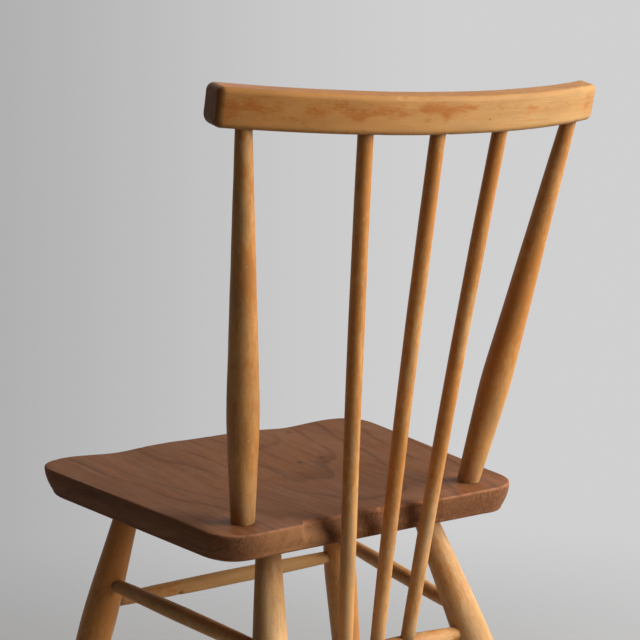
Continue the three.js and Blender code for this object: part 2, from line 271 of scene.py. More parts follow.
@dataclass
class Workshop:
    """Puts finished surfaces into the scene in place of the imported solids.

    Attributes:
        offset: From the posts' plan line to the chair's own origin, in millimetres.
        materials: The finish of each slot.
    """

    offset: Array
    materials: dict[Slot, bpy.types.Material]

    def place(self, node: str, slot: Slot, skin: Skin) -> bpy.types.Object:
        """Makes a piece, rides it on the body and hides the solid that it stands for.

        Args:
            node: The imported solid's name.
            slot: The finish.
            skin: The surface.

        Returns:
            The new object.
        """
        name = f"{node}_finished"
        piece = bpy.data.objects.new(name, skin.to_mesh(name, self.offset))
        bpy.context.scene.collection.objects.link(piece)
        piece.data.materials.append(self.materials[slot])
        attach(piece, BODY)
        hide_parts(node)
        LOG.info("%s: %d faces in %s", name, len(piece.data.polygons), slot.value)
        return piece


# Sticks


@dataclass(frozen=True)
class Dent:
    """A knock in a stick's surface, in millimetres along and around it, and in depth."""

    along: float
    angle: float
    reach_along: float
    reach_around: float
    depth: float

    def shape(self, row: Array, angle: Array, radius: Array) -> Array:
        """The knock as a bell in both directions, from nought to one."""
        turn = np.angle(np.exp(1j * (angle - self.angle))) * radius
        return bump(row - self.along, self.reach_along) * bump(turn, self.reach_around)


@dataclass
class Stick:
    """A turned stick between two shoulders, with a little more of it in each socket.

    Attributes:
        foot: Point of the axis at the lower or left shoulder.
        head: Point of the axis at the other shoulder.
        profile: Diameter at a share of the length.
        seed: Picks the figure of its wood.
        bow: How far the middle stands forward.
        on_floor: True where the foot is cut flat to the floor.
        coat: Share of varnish left at a share of the length.
        glaze: Strength of the thin amber film left in bare wood, in the same way.
        rubbing: How grey the wood is rubbed, in the same way.
        dents: Knocks in the surface.
    """

    foot: Array
    head: Array
    profile: Profile
    seed: int
    bow: float = 0.0
    on_floor: bool = False
    coat: Profile = lambda along: np.full_like(along, 0.6)
    glaze: Profile = lambda along: np.full_like(along, 0.45)
    rubbing: Profile = np.zeros_like
    dents: tuple[Dent, ...] = ()
    rows: int = 190
    columns: int = 56
    socketed: float = 5.0
    sole_arris: float = 1.6
    unevenness: float = 0.09

    @property
    def length(self) -> float:
        """Distance between the shoulders."""
        return float(np.linalg.norm(self.head - self.foot))

    @property
    def along(self) -> Array:
        """Unit direction from foot to head."""
        return unit(self.head - self.foot)

    def frame(self) -> tuple[Array, Array]:
        """Two unit directions square to the axis: across, and front or up."""
        runs_back = abs(self.along[1]) > 0.9
        towards = np.array([0.0, 0.0, 1.0]) if runs_back else np.array([0.0, -1.0, 0.0])
        across = unit(np.cross(self.along, towards))
        return across, np.cross(across, self.along)

    def at_height(self, height: float) -> tuple[Array, float]:
        """The axis at a height above the floor, and the radius there."""
        share = (height - self.foot[2]) / (self.head[2] - self.foot[2])
        point = self.foot + (self.head - self.foot) * share
        return point, float(self.profile(np.array(share))) / 2.0

    def skin(self) -> Skin:
        """The turned surface: circles of the profile's radius carried along the bowed axis.

        Returns:
            The surface with its marks.
        """
        across, front = self.frame()
        angle = np.linspace(0.0, 2.0 * math.pi, self.columns, endpoint=False)[None, :]
        ring = np.cos(angle)[..., None] * across + np.sin(angle)[..., None] * front
        start = np.full(angle.shape, -self.socketed)
        if self.on_floor:
            radius = float(self.profile(np.array(0.0))) / 2.0
            start = -radius * ring[..., 2] / self.along[2]
        end = self.length + self.socketed
        row = start + (end - start) * np.linspace(0.0, 1.0, self.rows)[:, None]
        share = np.clip(row / self.length, 0.0, 1.0)
        radius = self.profile(share) / 2.0
        radius = radius + self.unevenness * waves(self.seed, row / 45.0, np.cos(angle) + 0 * row)
        if self.on_floor:
            inset = np.clip(1.0 - (row - start) / self.sole_arris, 0.0, 1.0)
            radius = radius - self.sole_arris * (1.0 - np.sqrt(1.0 - inset**2))
        for dent in self.dents:
            radius = radius - dent.depth * dent.shape(row, angle, radius)
        bow = self.bow * 4.0 * share * (1.0 - share)
        axis = self.foot + row[..., None] * self.along + bow[..., None] * front
        points = axis + radius[..., None] * ring
        if self.on_floor:
            points[..., 2] = np.maximum(points[..., 2], 0.0)
        return Skin(points, self.marks(row, share, radius, angle))

    def marks(self, row: Array, share: Array, radius: Array, angle: Array) -> dict[str, Array]:
        """Wood coordinates, varnish left and grime by the shoulders, at each point.

        Args:
            row: Distance along the stick.
            share: The same as a share of its length.
            radius: Radius there.
            angle: Angle round the stick.

        Returns:
            The marks by name.
        """
        draw = np.random.default_rng(self.seed)
        origin = draw.uniform(-900.0, 900.0, 3)
        wood = np.stack([row, radius * np.cos(angle), radius * np.sin(angle)], axis=-1)
        near_head = np.exp(-np.abs(self.length - row) / 5.0)
        near_foot = np.zeros_like(row) if self.on_floor else np.exp(-np.abs(row) / 5.0)
        worn_sole = np.exp(-row / 9.0) if self.on_floor else np.zeros_like(row)
        dirty = [dent.depth * dent.shape(row, angle, radius) for dent in self.dents]
        spread = 0.16 * waves(self.seed + 1, row / 60.0, np.sin(angle) + 0.0 * row)
        return {
            "grain": wood + origin,
            "coat": self.coat(share) + spread,
            "glaze": self.glaze(share),
            "rubbing": self.rubbing(share),
            "edge": worn_sole,
            "joint": np.clip(np.maximum(near_head, near_foot) + 0.6 * sum(dirty), 0.0, 1.0),
        }


# Sub-assemblies


@dataclass(frozen=True)
class Spot:
    """A dark spot on the seat: its middle and reach in plan, in millimetres, and its strength."""

    x: float
    y: float
    reach_x: float
    reach_y: float
    strength: float = 1.0

    def shape(self, x: Array, y: Array) -> Array:
        """The spot as a bell in both directions."""
        return self.strength * bump(x - self.x, self.reach_x) * bump(y - self.y, self.reach_y)


@dataclass
class Seat:
    """The saddled elm plank, with a recess in its rear edge."""

    height: float = 430.0
    tilt: float = math.radians(1.5)
    front_width: float = 362.0
    rear_width: float = 301.0
    depth: float = 300.0
    rear: float = 33.5
    front_corner: float = 40.0
    rear_corner: float = 38.0
    rear_dip: float = 2.0
    rear_dip_reach: float = 34.0
    thickness: float = 30.0
    rim_height: float = 24.0
    side_rim: float = 2.0
    undercut: float = 5.5
    rim_fullness: float = 1.9
    underside_bevel: float = 40.0
    top_arris: float = 1.8
    lower_arris: float = 4.0
    dish_depth: float = 6.0
    dish_reach: tuple[float, float] = (95.0, 80.0)
    dish_behind_front: float = 175.0
    thigh_dip: float = 2.5
    thigh_spacing: float = 190.0
    thigh_reach: tuple[float, float] = (30.0, 110.0)
    recess_width: float = 140.0
    recess_depth: float = 7.0
    recess_offset: float = 9.0
    recess_left_run: float = 4.0
    recess_right_run: float = 42.0
    recess_runs_out: tuple[float, float] = (3.0, 20.0)
    outline_step: float = 1.6
    outline_easing: int = 1
    post_inset: float = 38.6
    knots: tuple[Spot, ...] = (
        Spot(-59.0, -147.0, 2.6, 4.0),
        Spot(-33.0, -144.0, 2.6, 4.0),
        Spot(-86.0, -246.0, 2.6, 4.0),
    )
    # Dark spots by the rear edge beside the spindles: painted shade where the spindles' shadows fall, partly
    # a real stain.
    shade_and_stain_spots: tuple[Spot, ...] = (Spot(-30.0, 26.0, 9.0, 7.0, 0.45), Spot(34.0, 27.0, 20.0, 4.0, 0.3))
    rubbed_at: float = 84.0
    rubbed_reach: float = 34.0

    @property
    def front(self) -> float:
        """Plan line of the front edge."""
        return self.rear - self.depth

    @property
    def middle(self) -> float:
        """Plan line half-way along the seat."""
        return (self.rear + self.front) / 2.0

    def plane(self, y: Array) -> Array:
        """Height of the flat plank's top, which tips up towards the front."""
        return self.height - math.tan(self.tilt) * y

    def side(self, y: Array) -> Array:
        """Half the width at a plan line, before the corners are rounded."""
        widening = (self.front_width - self.rear_width) / self.depth
        return (self.rear_width + widening * (self.rear - y)) / 2.0

    def top(self, x: Array, y: Array) -> Array:
        """Height of the saddled top: the plane less a dish, two thigh dips and a worn rear corner."""
        ahead = y - self.front
        dish = bump(x, self.dish_reach[0]) * bump(ahead - self.dish_behind_front, self.dish_reach[1])
        thigh = bump(np.abs(x) - self.thigh_spacing / 2.0, self.thigh_reach[0])
        thigh = thigh * bump(ahead, self.thigh_reach[1])
        corner = bump(x - self.rear_width / 2.0, self.rear_dip_reach)
        corner = corner * bump(y - self.rear, self.rear_dip_reach)
        saddle = self.dish_depth * dish + self.thigh_dip * thigh
        return self.plane(y) - saddle - self.rear_dip * corner

    def corners(self) -> list[Array]:
        """The plan as runs of two or three points: straight edges, and corners with a pull point."""
        front, rear = self.front_width / 2.0, self.rear_width / 2.0
        rear_y, front_y = self.rear - self.rear_corner, self.front + self.front_corner
        floor = self.rear - self.recess_depth
        left = self.recess_offset + self.recess_width / 2.0
        right = self.recess_offset - self.recess_width / 2.0
        straight = [
            (rear - self.rear_corner, self.rear),
            (left, self.rear),
            (left - self.recess_left_run, floor),
            (right + self.recess_right_run, floor),
            (right, self.rear),
            (self.rear_corner - rear, self.rear),
        ]
        rear_side, front_side = self.side(rear_y), self.side(front_y)
        runs = [[first, second] for first, second in zip(straight, straight[1:])]
        runs += [
            [straight[-1], (-rear, self.rear), (-rear_side, rear_y)],
            [(-rear_side, rear_y), (-front_side, front_y)],
            [(-front_side, front_y), (-front, self.front), (self.front_corner - front, self.front)],
            [(self.front_corner - front, self.front), (front - self.front_corner, self.front)],
            [(front - self.front_corner, self.front), (front, self.front), (front_side, front_y)],
            [(front_side, front_y), (rear_side, rear_y)],
            [(rear_side, rear_y), (rear, self.rear), straight[0]],
        ]
        return [np.array(run) for run in runs]

    def outline(self) -> Array:
        """The plan as close points, with its sharp turns eased by a short running mean.

        Returns:
            Points by two, in order round the plan.
        """
        points = []
        for run in self.corners():
            count = max(2, round(float(np.linalg.norm(run[-1] - run[0])) / self.outline_step))
            share = np.linspace(0.0, 1.0, count, endpoint=False)[:, None]
            if len(run) == 2:
                points.append(run[0] * (1.0 - share) + run[1] * share)
            else:
                bend = run[0] * (1.0 - share) ** 2 + run[1] * 2.0 * share * (1.0 - share)
                points.append(bend + run[2] * share**2)
        line = np.concatenate(points)
        for _ in range(self.outline_easing):
            line = (np.roll(line, 1, axis=0) + 2.0 * line + np.roll(line, -1, axis=0)) / 4.0
        return line

    def recessed(self, line: Array) -> Array:
        """How far each point of the plan lies in the recess, as a share of its depth."""
        near = np.abs(line[:, 0] - self.recess_offset) < self.recess_width / 2.0
        behind = line[:, 1] > self.rear - self.recess_depth - 1.0
        share = (self.rear - line[:, 1]) / self.recess_depth
        return np.where(near & behind, np.clip(share, 0.0, 1.0), 0.0)

    def arris(self, line: Array) -> Array:
        """Radius of the top edge along the plan: crisp at the rear, worn in the recess, nicked."""
        rearward = rise(line[:, 1], self.rear - 30.0, self.rear - 2.0)
        radius = self.top_arris * (1.0 - 0.45 * rearward)
        radius = radius + 1.6 * self.recessed(line)
        worn = waves(31, line[:, 0] / 22.0, line[:, 1] / 22.0)
        nicks = rise(waves(32, line[:, 0] / 6.0, line[:, 1] / 6.0), 1.15, 1.7)
        return radius * (1.0 + 0.18 * worn) + 0.6 * nicks

    def rim(self, line: Array) -> Array:
        """Height of the rim along the plan: a little more at the sides than in front and behind."""
        sideways = np.abs(line[:, 0]) / self.side(line[:, 1])
        return self.rim_height + self.side_rim * rise(sideways, 0.75, 0.97)

    def skin(self) -> Skin:
        """The plank: rings of its plan from the middle of the top, over the edge, to the underside.

        Each ring is the plan drawn in towards the middle, at a height that the top, the rounded
        edges, the undercut rim or the bevelled underside gives it.

        Returns:
            The surface with its marks.
        """
        line = self.outline()
        arris, rim_height = self.arris(line), self.rim(line)
        half = np.array([self.front_width / 2.0, self.depth / 2.0])
        insets, drops, from_top, edges = [], [], [], []

        def ring(inset: Array, drop: Array, top: bool, edge: float) -> None:
            """Adds one ring: inset from the plan, drop below the top or the plane, and edge wear."""
            insets.append(np.broadcast_to(inset, arris.shape))
            drops.append(np.broadcast_to(drop, arris.shape))
            from_top.append(top)
            edges.append(edge)

        for share in np.linspace(0.02, 1.0, 40) ** 0.8:
            inset = half[1] * (1.0 - share) + arris * share
            ring(inset, 0.0 * arris, True, float(bump(np.array(1.0 - share), 0.03)) * 0.55)
        for angle in np.linspace(0.0, math.pi / 2.0, 9)[1:]:
            ring(arris * (1.0 - math.sin(angle)), arris * (1.0 - math.cos(angle)), True, 1.0)
        rim = rim_height - self.lower_arris
        for share in np.linspace(0.0, 1.0, 10)[1:-1]:
            drop = arris + (rim - arris) * share
            wear = 0.6 * float(bump(np.array(share), 0.12))
            ring(self.undercut * share**self.rim_fullness, drop, True, wear)
        for angle in np.linspace(0.0, math.pi / 2.0, 8):
            inset = self.undercut + self.lower_arris * (1.0 - math.cos(angle))
            ring(inset, rim + self.lower_arris * math.sin(angle), False, 0.5 * math.sin(2.0 * angle))
        foot = self.undercut + self.lower_arris
        fall = self.thickness - rim_height
        for share in np.linspace(0.0, 1.0, 7)[1:]:
            ring(foot + self.underside_bevel * share, rim_height + fall * share, False, 0.0)
        reach = half[1] - foot - self.underside_bevel
        for share in np.linspace(0.0, 0.98, 9)[1:]:
            ring(foot + self.underside_bevel + reach * share, self.thickness, False, 0.0)
        return self.rings_to_skin(line, np.stack(insets), np.stack(drops), from_top, np.array(edges))

    def rings_to_skin(
        self, line: Array, inset: Array, drop: Array, from_top: list[bool], edge: Array
    ) -> Skin:
        """Turns rings into points: the plan scaled about the seat's middle, less each drop.

        The recess is cut in full at the top and runs out towards the underside.

        Args:
            line: The plan.
            inset: How far each ring is drawn in, rings by points.
            drop: How far each ring lies below the top or the plane.
            from_top: True where the drop is from the saddled top.
            edge: Edge wear of each ring.

        Returns:
            The surface with its marks.
        """
        filled = self.recess_depth * self.recessed(line) * rise(drop, *self.recess_runs_out)
        plan_y = line[:, 1] + filled - self.middle
        x = line[:, 0] * (1.0 - inset / (self.front_width / 2.0))
        y = self.middle + plan_y * (1.0 - inset / (self.depth / 2.0))
        saddled = np.array(from_top)[:, None]
        depth = np.clip(drop / (self.rim_height - self.lower_arris), 0.0, 1.0)
        top = self.top(x, y)
        base = np.where(saddled, top * (1.0 - depth) + self.plane(y) * depth, self.plane(y))
        bare = Skin(np.stack([x, y, base - drop], axis=-1), {})
        tooling = 0.12 * waves(33, x / 38.0, y / 60.0) * (drop < 0.01)
        skin = bare.pressed(tooling)
        skin.marks = self.marks(x, y, base - drop, edge, bare.normals())
        return skin

    def marks(self, x: Array, y: Array, z: Array, edge: Array, normal: Array) -> dict[str, Array]:
        """Wood coordinates, varnish left, edge wear, end grain, dark spots of painted shade and stain, and
        grime at each point.

        Args:
            x: Across.
            y: Along the grain, from front to back.
            z: Height.
            edge: Edge wear of each ring.
            normal: Outward normals.

        Returns:
            The marks by name.
        """
        post_x = self.side(np.array(0.0)) - self.post_inset
        to_post = np.hypot(np.abs(x) - post_x, y)
        on_top = normal[..., 2] > 0.5
        grime = np.exp(-np.clip(to_post - 9.5, 0.0, None) / 4.0) * on_top
        near_top = z > self.height - self.thickness / 2.0
        # The spots by the rear edge paint the spindles' shade, partly a real stain.
        stain = sum(spot.shape(x, y) for spot in self.shade_and_stain_spots) * near_top
        knots = sum(spot.shape(x, y) for spot in self.knots) * on_top
        kept = rise(y, -12.0, 30.0) * rise(np.abs(x), 45.0, 85.0)
        kept = np.maximum(kept, 0.8 * bump(to_post - 12.0, 22.0))
        return {
            "grain": np.stack([y, x, z], axis=-1),
            "coat": kept,
            "edge": edge[:, None] * (0.6 + 0.4 * rise(y, 0.0, 26.0)),
            "end": np.abs(normal[..., 1]) * (np.abs(normal[..., 2]) < 0.6),
            "rubbed": bump(x - self.rubbed_at, self.rubbed_reach) * (normal[..., 1] > 0.5),
            "stain": np.clip(stain + knots, 0.0, 1.0),
            "joint": grime,
        }

    def build(self, workshop: Workshop) -> None:
        """Places the seat."""
        workshop.place("seat", Slot.ELM, self.skin())


@dataclass
class Legs:
    """Four turned legs that swell where the stretchers meet them."""

    seat: Seat
    front_setback: float = 61.0
    front_side_inset: float = 64.8
    front_splay: float = math.radians(12.2)
    front_rake: float = math.radians(11.3)
    rear_setback: float = 52.0
    rear_side_inset: float = 75.5
    rear_splay: float = math.radians(12.7)
    rear_rake: float = math.radians(20.5)
    head_diameter: float = 20.5
    swell: float = 32.0
    swell_at: float = 118.0
    foot_diameter: float = 20.0
    seed: int = 100

    def leg(self, x: float, y: float, splay: float, rake: float, seed: int) -> Stick:
        """A leg from its place under the seat to the floor.

        Args:
            x: Place of its head, across.
            y: Plan line of its head.
            splay: Angle outwards, signed.
            rake: Angle back, signed.
            seed: Picks its figure.

        Returns:
            The stick.
        """
        height = float(self.seat.plane(np.array(y))) - self.seat.thickness
        head = np.array([x, y, height])
        foot = np.array([x + math.tan(splay) * height, y + math.tan(rake) * height, 0.0])
        length = float(np.linalg.norm(head - foot))
        profile = belly(self.foot_diameter, self.swell, 1.0 - self.swell_at / length, self.head_diameter)
        wear = {"coat": self.coat_left, "glaze": self.glaze_left}
        return Stick(foot, head, profile, seed, on_floor=True, rows=260, **wear)

    @staticmethod
    def coat_left(along: Array) -> Array:
        """Varnish left on a leg: less towards the floor."""
        return 0.24 + 0.12 * along

    @staticmethod
    def glaze_left(along: Array) -> Array:
        """Thin film left in a leg's bare wood."""
        return 0.02 + 0.04 * along

    def front(self, side: Side) -> Stick:
        """The front leg of a side."""
        y = self.seat.front + self.front_setback
        x = float(self.seat.side(np.array(y))) - self.front_side_inset
        sign = side.value
        leg = self.leg(sign * x, y, sign * self.front_splay, -self.front_rake, self.seed + sign)
        # More amber varnish on the front legs, heavier towards the seat: partly their varnish, partly
        # painted shade from the seat.
        leg.glaze = lambda along: 0.4 + 0.5 * along
        leg.coat = lambda along: 0.48 + 0.42 * along
        return leg

    def rear(self, side: Side) -> Stick:
        """The rear leg of a side."""
        y = self.seat.rear - self.rear_setback
        x = float(self.seat.side(np.array(y))) - self.rear_side_inset
        sign = side.value
        return self.leg(sign * x, y, sign * self.rear_splay, self.rear_rake, self.seed + 10 + sign)

    def build(self, workshop: Workshop) -> None:
        """Places the four legs."""
        for side in Side:
            workshop.place(f"leg_front_{side.word}", Slot.BEECH, self.front(side).skin())
            workshop.place(f"leg_rear_{side.word}", Slot.BEECH, self.rear(side).skin())


@dataclass
class Stretchers:
    """Thin turned rails between the legs, and a stouter one that takes the spindles' feet."""

    legs: Legs
    front_height: float = 305.5
    side_front_height: float = 325.5
    side_rear_height: float = 319.0
    rear_height: float = 301.0
    middle: float = 14.5
    rear_middle: float = 20.0
    end: float = 12.0
    seed: int = 200
    front_dents: tuple[Dent, ...] = (
        Dent(62.0, -2.3, 2.4, 3.0, 1.6),
        Dent(57.0, 1.2, 3.5, 4.0, 0.35),
        Dent(131.0, -1.2, 5.0, 2.6, 0.45),
        Dent(170.0, -1.9, 2.4, 2.2, 0.5),
    )

    def between(
        self, start: tuple[Array, float], stop: tuple[Array, float], middle: float, seed: int
    ) -> Stick:
        """A rail between two leg axes, from the face of one leg to that of the other.

        Args:
            start: Axis point and radius of the first leg.
            stop: Axis point and radius of the second leg.
            middle: Diameter at the middle.
            seed: Picks its figure.

        Returns:
            The stick.
        """
        along = unit(stop[0] - start[0])
        foot = start[0] + along * start[1]
        head = stop[0] - along * stop[1]
        return Stick(
            foot,
            head,
            barrel(self.end, middle),
            seed,
            coat=lambda share: np.full_like(share, 0.46),
            glaze=lambda share: np.full_like(share, 0.15),
        )

    def rear(self) -> Stick:
        """The rear rail, from left to right."""
        left, right = (self.legs.rear(side).at_height(self.rear_height) for side in Side)
        return self.between(left, right, self.rear_middle, self.seed)

    def front(self) -> Stick:
        """The front rail, from left to right, knocked by feet."""
        left, right = (self.legs.front(side).at_height(self.front_height) for side in Side)
        stick = self.between(left, right, self.middle, self.seed + 1)
        stick.dents = self.front_dents
        stick.rows = 420
        stick.coat = lambda along: 0.34 - 0.2 * along
        return stick

    def along_side(self, side: Side) -> Stick:
        """The rail of a side, from front to rear."""
        front = self.legs.front(side).at_height(self.side_front_height)
        rear = self.legs.rear(side).at_height(self.side_rear_height)
        return self.between(front, rear, self.middle, self.seed + 4 + side.value)

    def build(self, workshop: Workshop) -> None:
        """Places the four rails."""
        workshop.place("stretcher_front", Slot.WORN_BEECH, self.front().skin())
        workshop.place("stretcher_rear", Slot.BEECH, self.rear().skin())
        for side in Side:
            workshop.place(f"stretcher_{side.word}", Slot.BEECH, self.along_side(side).skin())


@dataclass
class Posts:
    """Two turned posts that stand in the seat and carry the crest rail."""

    seat: Seat
    lean: float = math.radians(14.2)
    rise_to_rail: float = 313.0
    splay: float = math.radians(7.4)
    foot_diameter: float = 19.5
    swell: float = 26.0
    swell_at: float = 93.0
    head_diameter: float = 12.6
    seed: int = 300

    def foot(self, side: Side) -> Array:
        """The axis at the seat's top."""
        x = float(self.seat.side(np.array(0.0))) - self.seat.post_inset
        return np.array([side.value * x, 0.0, self.seat.height])

    def head(self, side: Side) -> Array:
        """The axis at the underside of the rail."""
        run = np.array([side.value * math.tan(self.splay), math.tan(self.lean), 1.0])
        return self.foot(side) + run * self.rise_to_rail

    def post(self, side: Side) -> Stick:
        """The post of a side."""
        foot, head = self.foot(side), self.head(side)
        share = self.swell_at / float(np.linalg.norm(head - foot))
        profile = belly(self.foot_diameter, self.swell, share, self.head_diameter)
        return Stick(
            foot,
            head,
            profile,
            self.seed + side.value,
            coat=lambda along: 0.6 - 0.2 * bump(along, 0.12),
            glaze=lambda along: 0.45 + 0.4 * bump(along - share, 0.25),
            rubbing=lambda along: 0.95 * bump(along, 0.07),
        )

    def build(self, workshop: Workshop) -> None:
        """Places both posts."""
        for side in Side:
            workshop.place(f"post_{side.word}", Slot.BEECH, self.post(side).skin())


@dataclass(frozen=True)
class Patch:
    """Varnish left on the crest rail: its middle and reach, across and up, in millimetres."""

    across: float
    up: float
    reach_across: float
    reach_up: float
    strength: float = 1.0


@dataclass
class CrestRail:
    """The steam-bent rail over the posts, leaning with them."""

    posts: Posts
    overhang: float = 24.0
    height: float = 30.0
    thickness: float = 20.0
    radius: float = 470.0
    top_arris: float = 4.0
    lower_arris: float = 5.0
    end_corner: float = 5.0
    rows: int = 300
    corner_steps: int = 12
    edge_steps: int = 14
    seed: int = 400
    patches: tuple[Patch, ...] = (
        Patch(172.0, 14.0, 7.0, 7.0, 0.9),
        Patch(155.0, 17.5, 9.0, 5.0, 0.8),
        Patch(128.0, 12.0, 8.0, 3.0, 0.45),
        Patch(112.0, 17.5, 8.0, 4.5, 0.75),
        Patch(90.0, 20.5, 20.0, 4.8, 1.0),
        Patch(80.0, 14.5, 13.0, 4.0, 0.9),
        Patch(60.0, 19.0, 13.0, 5.0, 0.95),
        Patch(42.0, 18.0, 7.0, 6.0, 0.65),
        Patch(22.0, 22.0, 12.0, 3.4, 1.0),
        Patch(2.0, 20.0, 14.0, 4.8, 1.0),
        Patch(3.0, 13.5, 5.0, 4.0, 0.75),
        Patch(19.0, 12.0, 4.0, 3.0, 0.6),
        Patch(-20.0, 22.0, 14.0, 3.6, 0.9),
        Patch(-50.0, 21.0, 6.0, 2.5, 0.6),
        Patch(-90.0, 18.0, 8.0, 3.0, 0.75),
        Patch(-84.0, 13.0, 3.0, 4.0, 0.55),
        Patch(-168.0, 17.0, 9.0, 8.0, 0.95),
    )

    @property
    def half(self) -> float:
        """Half the length, straight across."""
        return float(self.posts.head(Side.LEFT)[0]) + self.overhang

    def sag(self, across: Array) -> Array:
        """Depth of the bend's circle at a distance from the middle."""
        return np.sqrt(self.radius**2 - across**2)

    def middle_line(self, across: float) -> float:
        """How far the rail's middle line lies behind the posts' heads."""
        post = self.posts.head(Side.LEFT)[0]
        return float(self.sag(np.array(across)) - self.sag(post))

    def point(self, across: Array, back: Array, up: Array) -> Array:
        """A point of the leaning frame: across, back along the lean's normal, and up the lean.

        Args:
            across: Distance from the middle.
            back: Distance behind the posts' heads.
            up: Distance above the rail's underside.

        Returns:
            The point in the chair's frame.
        """
        _, y, z = self.posts.head(Side.LEFT)
        sin, cos = math.sin(self.posts.lean), math.cos(self.posts.lean)
        return np.stack([across, y + back * cos + up * sin, z - back * sin + up * cos], axis=-1)

    def section(self, inset_back: Array, inset_up: Array) -> tuple[Array, Array, Array]:
        """The rounded section as closed loops, drawn in by insets that grow at the sawn ends.

        Args:
            inset_back: Inset of front and back, one per row.
            inset_up: Inset of top and underside, one per row.

        Returns:
            Back, up and closeness to an arris, each rows by columns.
        """
        half = self.thickness / 2.0
        turns = np.linspace(0.0, math.pi / 2.0, self.corner_steps)
        straight = np.linspace(0.0, 1.0, self.edge_steps)[1:-1]
        spots = [
            (half, self.height, self.top_arris, 0.0),
            (-half, self.height, self.top_arris, 1.0),
            (-half, 0.0, self.lower_arris, 2.0),
            (half, 0.0, self.lower_arris, 3.0),
        ]
        back, up, edge = [], [], []
        for place, (x, z, radius, quarter) in enumerate(spots):
            angle = turns + quarter * math.pi / 2.0
            centre_x = x - math.copysign(radius, x)
            centre_z = z - radius if z > 0.0 else z + radius
            back.append(centre_x + radius * np.cos(angle))
            up.append(centre_z + radius * np.sin(angle))
            edge.append(np.sin(2.0 * turns))
            after_x, after_z, after_radius, after_quarter = spots[(place + 1) % 4]
            start = np.array([back[-1][-1], up[-1][-1]])
            turn = after_quarter * math.pi / 2.0
            stop_x = after_x - math.copysign(after_radius, after_x) + after_radius * math.cos(turn)
            inner_z = after_z - after_radius if after_z > 0.0 else after_z + after_radius
            stop = np.array([stop_x, inner_z + after_radius * math.sin(turn)])
            line = start + (stop - start) * straight[:, None]
            back.append(line[:, 0])
            up.append(line[:, 1])
            edge.append(np.zeros(len(straight)))
        back, up = np.concatenate(back), np.concatenate(up)
        middle = self.height / 2.0
        back = back * (1.0 - inset_back[:, None] / half)
        up = middle + (up - middle) * (1.0 - inset_up[:, None] / middle)
        return back, up, np.broadcast_to(np.concatenate(edge), up.shape)

    def skin(self) -> Skin:
        """The bent rail: its section carried round the bend, with sawn and rounded ends.

        Each line of the section ends on the same upright plane, so its angle is scaled to reach it.

        Returns:
            The surface with its marks.
        """
        corner = np.linspace(0.0, math.pi / 2.0, 12)
        face = np.linspace(0.0, 0.97, 8)[1:]
        middle = np.linspace(-1.0, 1.0, self.rows)
        reach = np.concatenate([
            np.full(len(face), -self.half),
            -self.half + self.end_corner * (1.0 - np.sin(corner[::-1])),
            (self.half - self.end_corner) * middle[1:-1],
            self.half - self.end_corner * (1.0 - np.sin(corner)),
            np.full(len(face), self.half),
        ])
        round_off = self.end_corner * (1.0 - np.cos(corner))
        flat = np.zeros(len(middle) - 2)
        close = 1.0 - face[::-1]
        low = self.height / 2.0 - (self.height / 2.0 - self.end_corner) * close
        thin = self.thickness / 2.0 - (self.thickness / 2.0 - 0.6 * self.end_corner) * close
        inset_up = np.concatenate([low, round_off[::-1], flat, round_off, low[::-1]])
        inset_back = np.concatenate([thin, 0.6 * round_off[::-1], flat, 0.6 * round_off, thin[::-1]])
        back, up, edge = self.section(inset_back, inset_up)
        across = np.broadcast_to(reach[:, None], back.shape)
        behind = np.sqrt((self.radius + back) ** 2 - across**2) - self.sag(self.posts.head(Side.LEFT)[0])
        bare = Skin(self.point(across, behind, up), {})
        nicks = 0.35 * edge * rise(waves(self.seed, across / 9.0, up / 9.0), 1.1, 1.8)
        soft = 0.1 * waves(self.seed + 1, across / 50.0, up / 14.0)
        skin = bare.pressed(nicks + soft)
        ends = np.clip(np.concatenate([np.ones(len(face)), np.sin(corner[::-1]), flat,
                                       np.sin(corner), np.ones(len(face))]), 0.0, 1.0)
        rounding = np.concatenate([0.0 * face, np.sin(2.0 * corner), flat, np.sin(2.0 * corner), 0.0 * face])
        edge = np.maximum(edge, rounding[:, None])
        skin.marks = self.marks(across, back, up, edge, np.broadcast_to(ends[:, None], up.shape))
        return skin

    def marks(self, across: Array, back: Array, up: Array, edge: Array, end: Array) -> dict[str, Array]:
        """Wood coordinates along the bend, varnish left, heavier along the top as painted shade, edge wear,
        end grain and grime.

        Args:
            across: Distance from the middle.
            back: Distance behind the rail's middle line.
            up: Distance above the underside.
            edge: Closeness to an arris.
            end: One on the sawn ends.

        Returns:
            The marks by name.
        """
        along = self.radius * np.arcsin(across / self.radius)
        left = sum(
            patch.strength
            * bump(across - patch.across, patch.reach_across)
            * bump(up - patch.up, patch.reach_up)
            for patch in self.patches
        )
        rear = rise(back, 2.0, 6.0)
        front = 0.5 * bump(up - 15.0, 9.0) * (0.6 + 0.4 * waves(self.seed + 2, along / 40.0)) * (1.0 - rear)
        # More varnish along the top darkens the top face: partly varnish kept there, partly painted shade on
        # the top.
        top = 0.42 * rise(up, 25.0, 29.5)
        coat = 0.1 + 0.6 * np.clip(left, 0.0, 1.0) * rear + front + top + 0.2 * rise(across, 70.0, 165.0)
        below = 1.0 - rise(up, 0.0, 5.0)
        return {
            "grain": np.stack([along, up, back], axis=-1) + 500.0,
            "coat": np.clip(coat + 0.55 * end, 0.0, 1.0),
            "glaze": 0.1 + 0.72 * rise(across, -130.0, 150.0),
            "edge": edge,
            "end": end,
            "joint": 0.5 * below,
        }

    def build(self, workshop: Workshop) -> None:
        """Places the rail."""
        workshop.place("crest_rail", Slot.WORN_BEECH, self.skin())


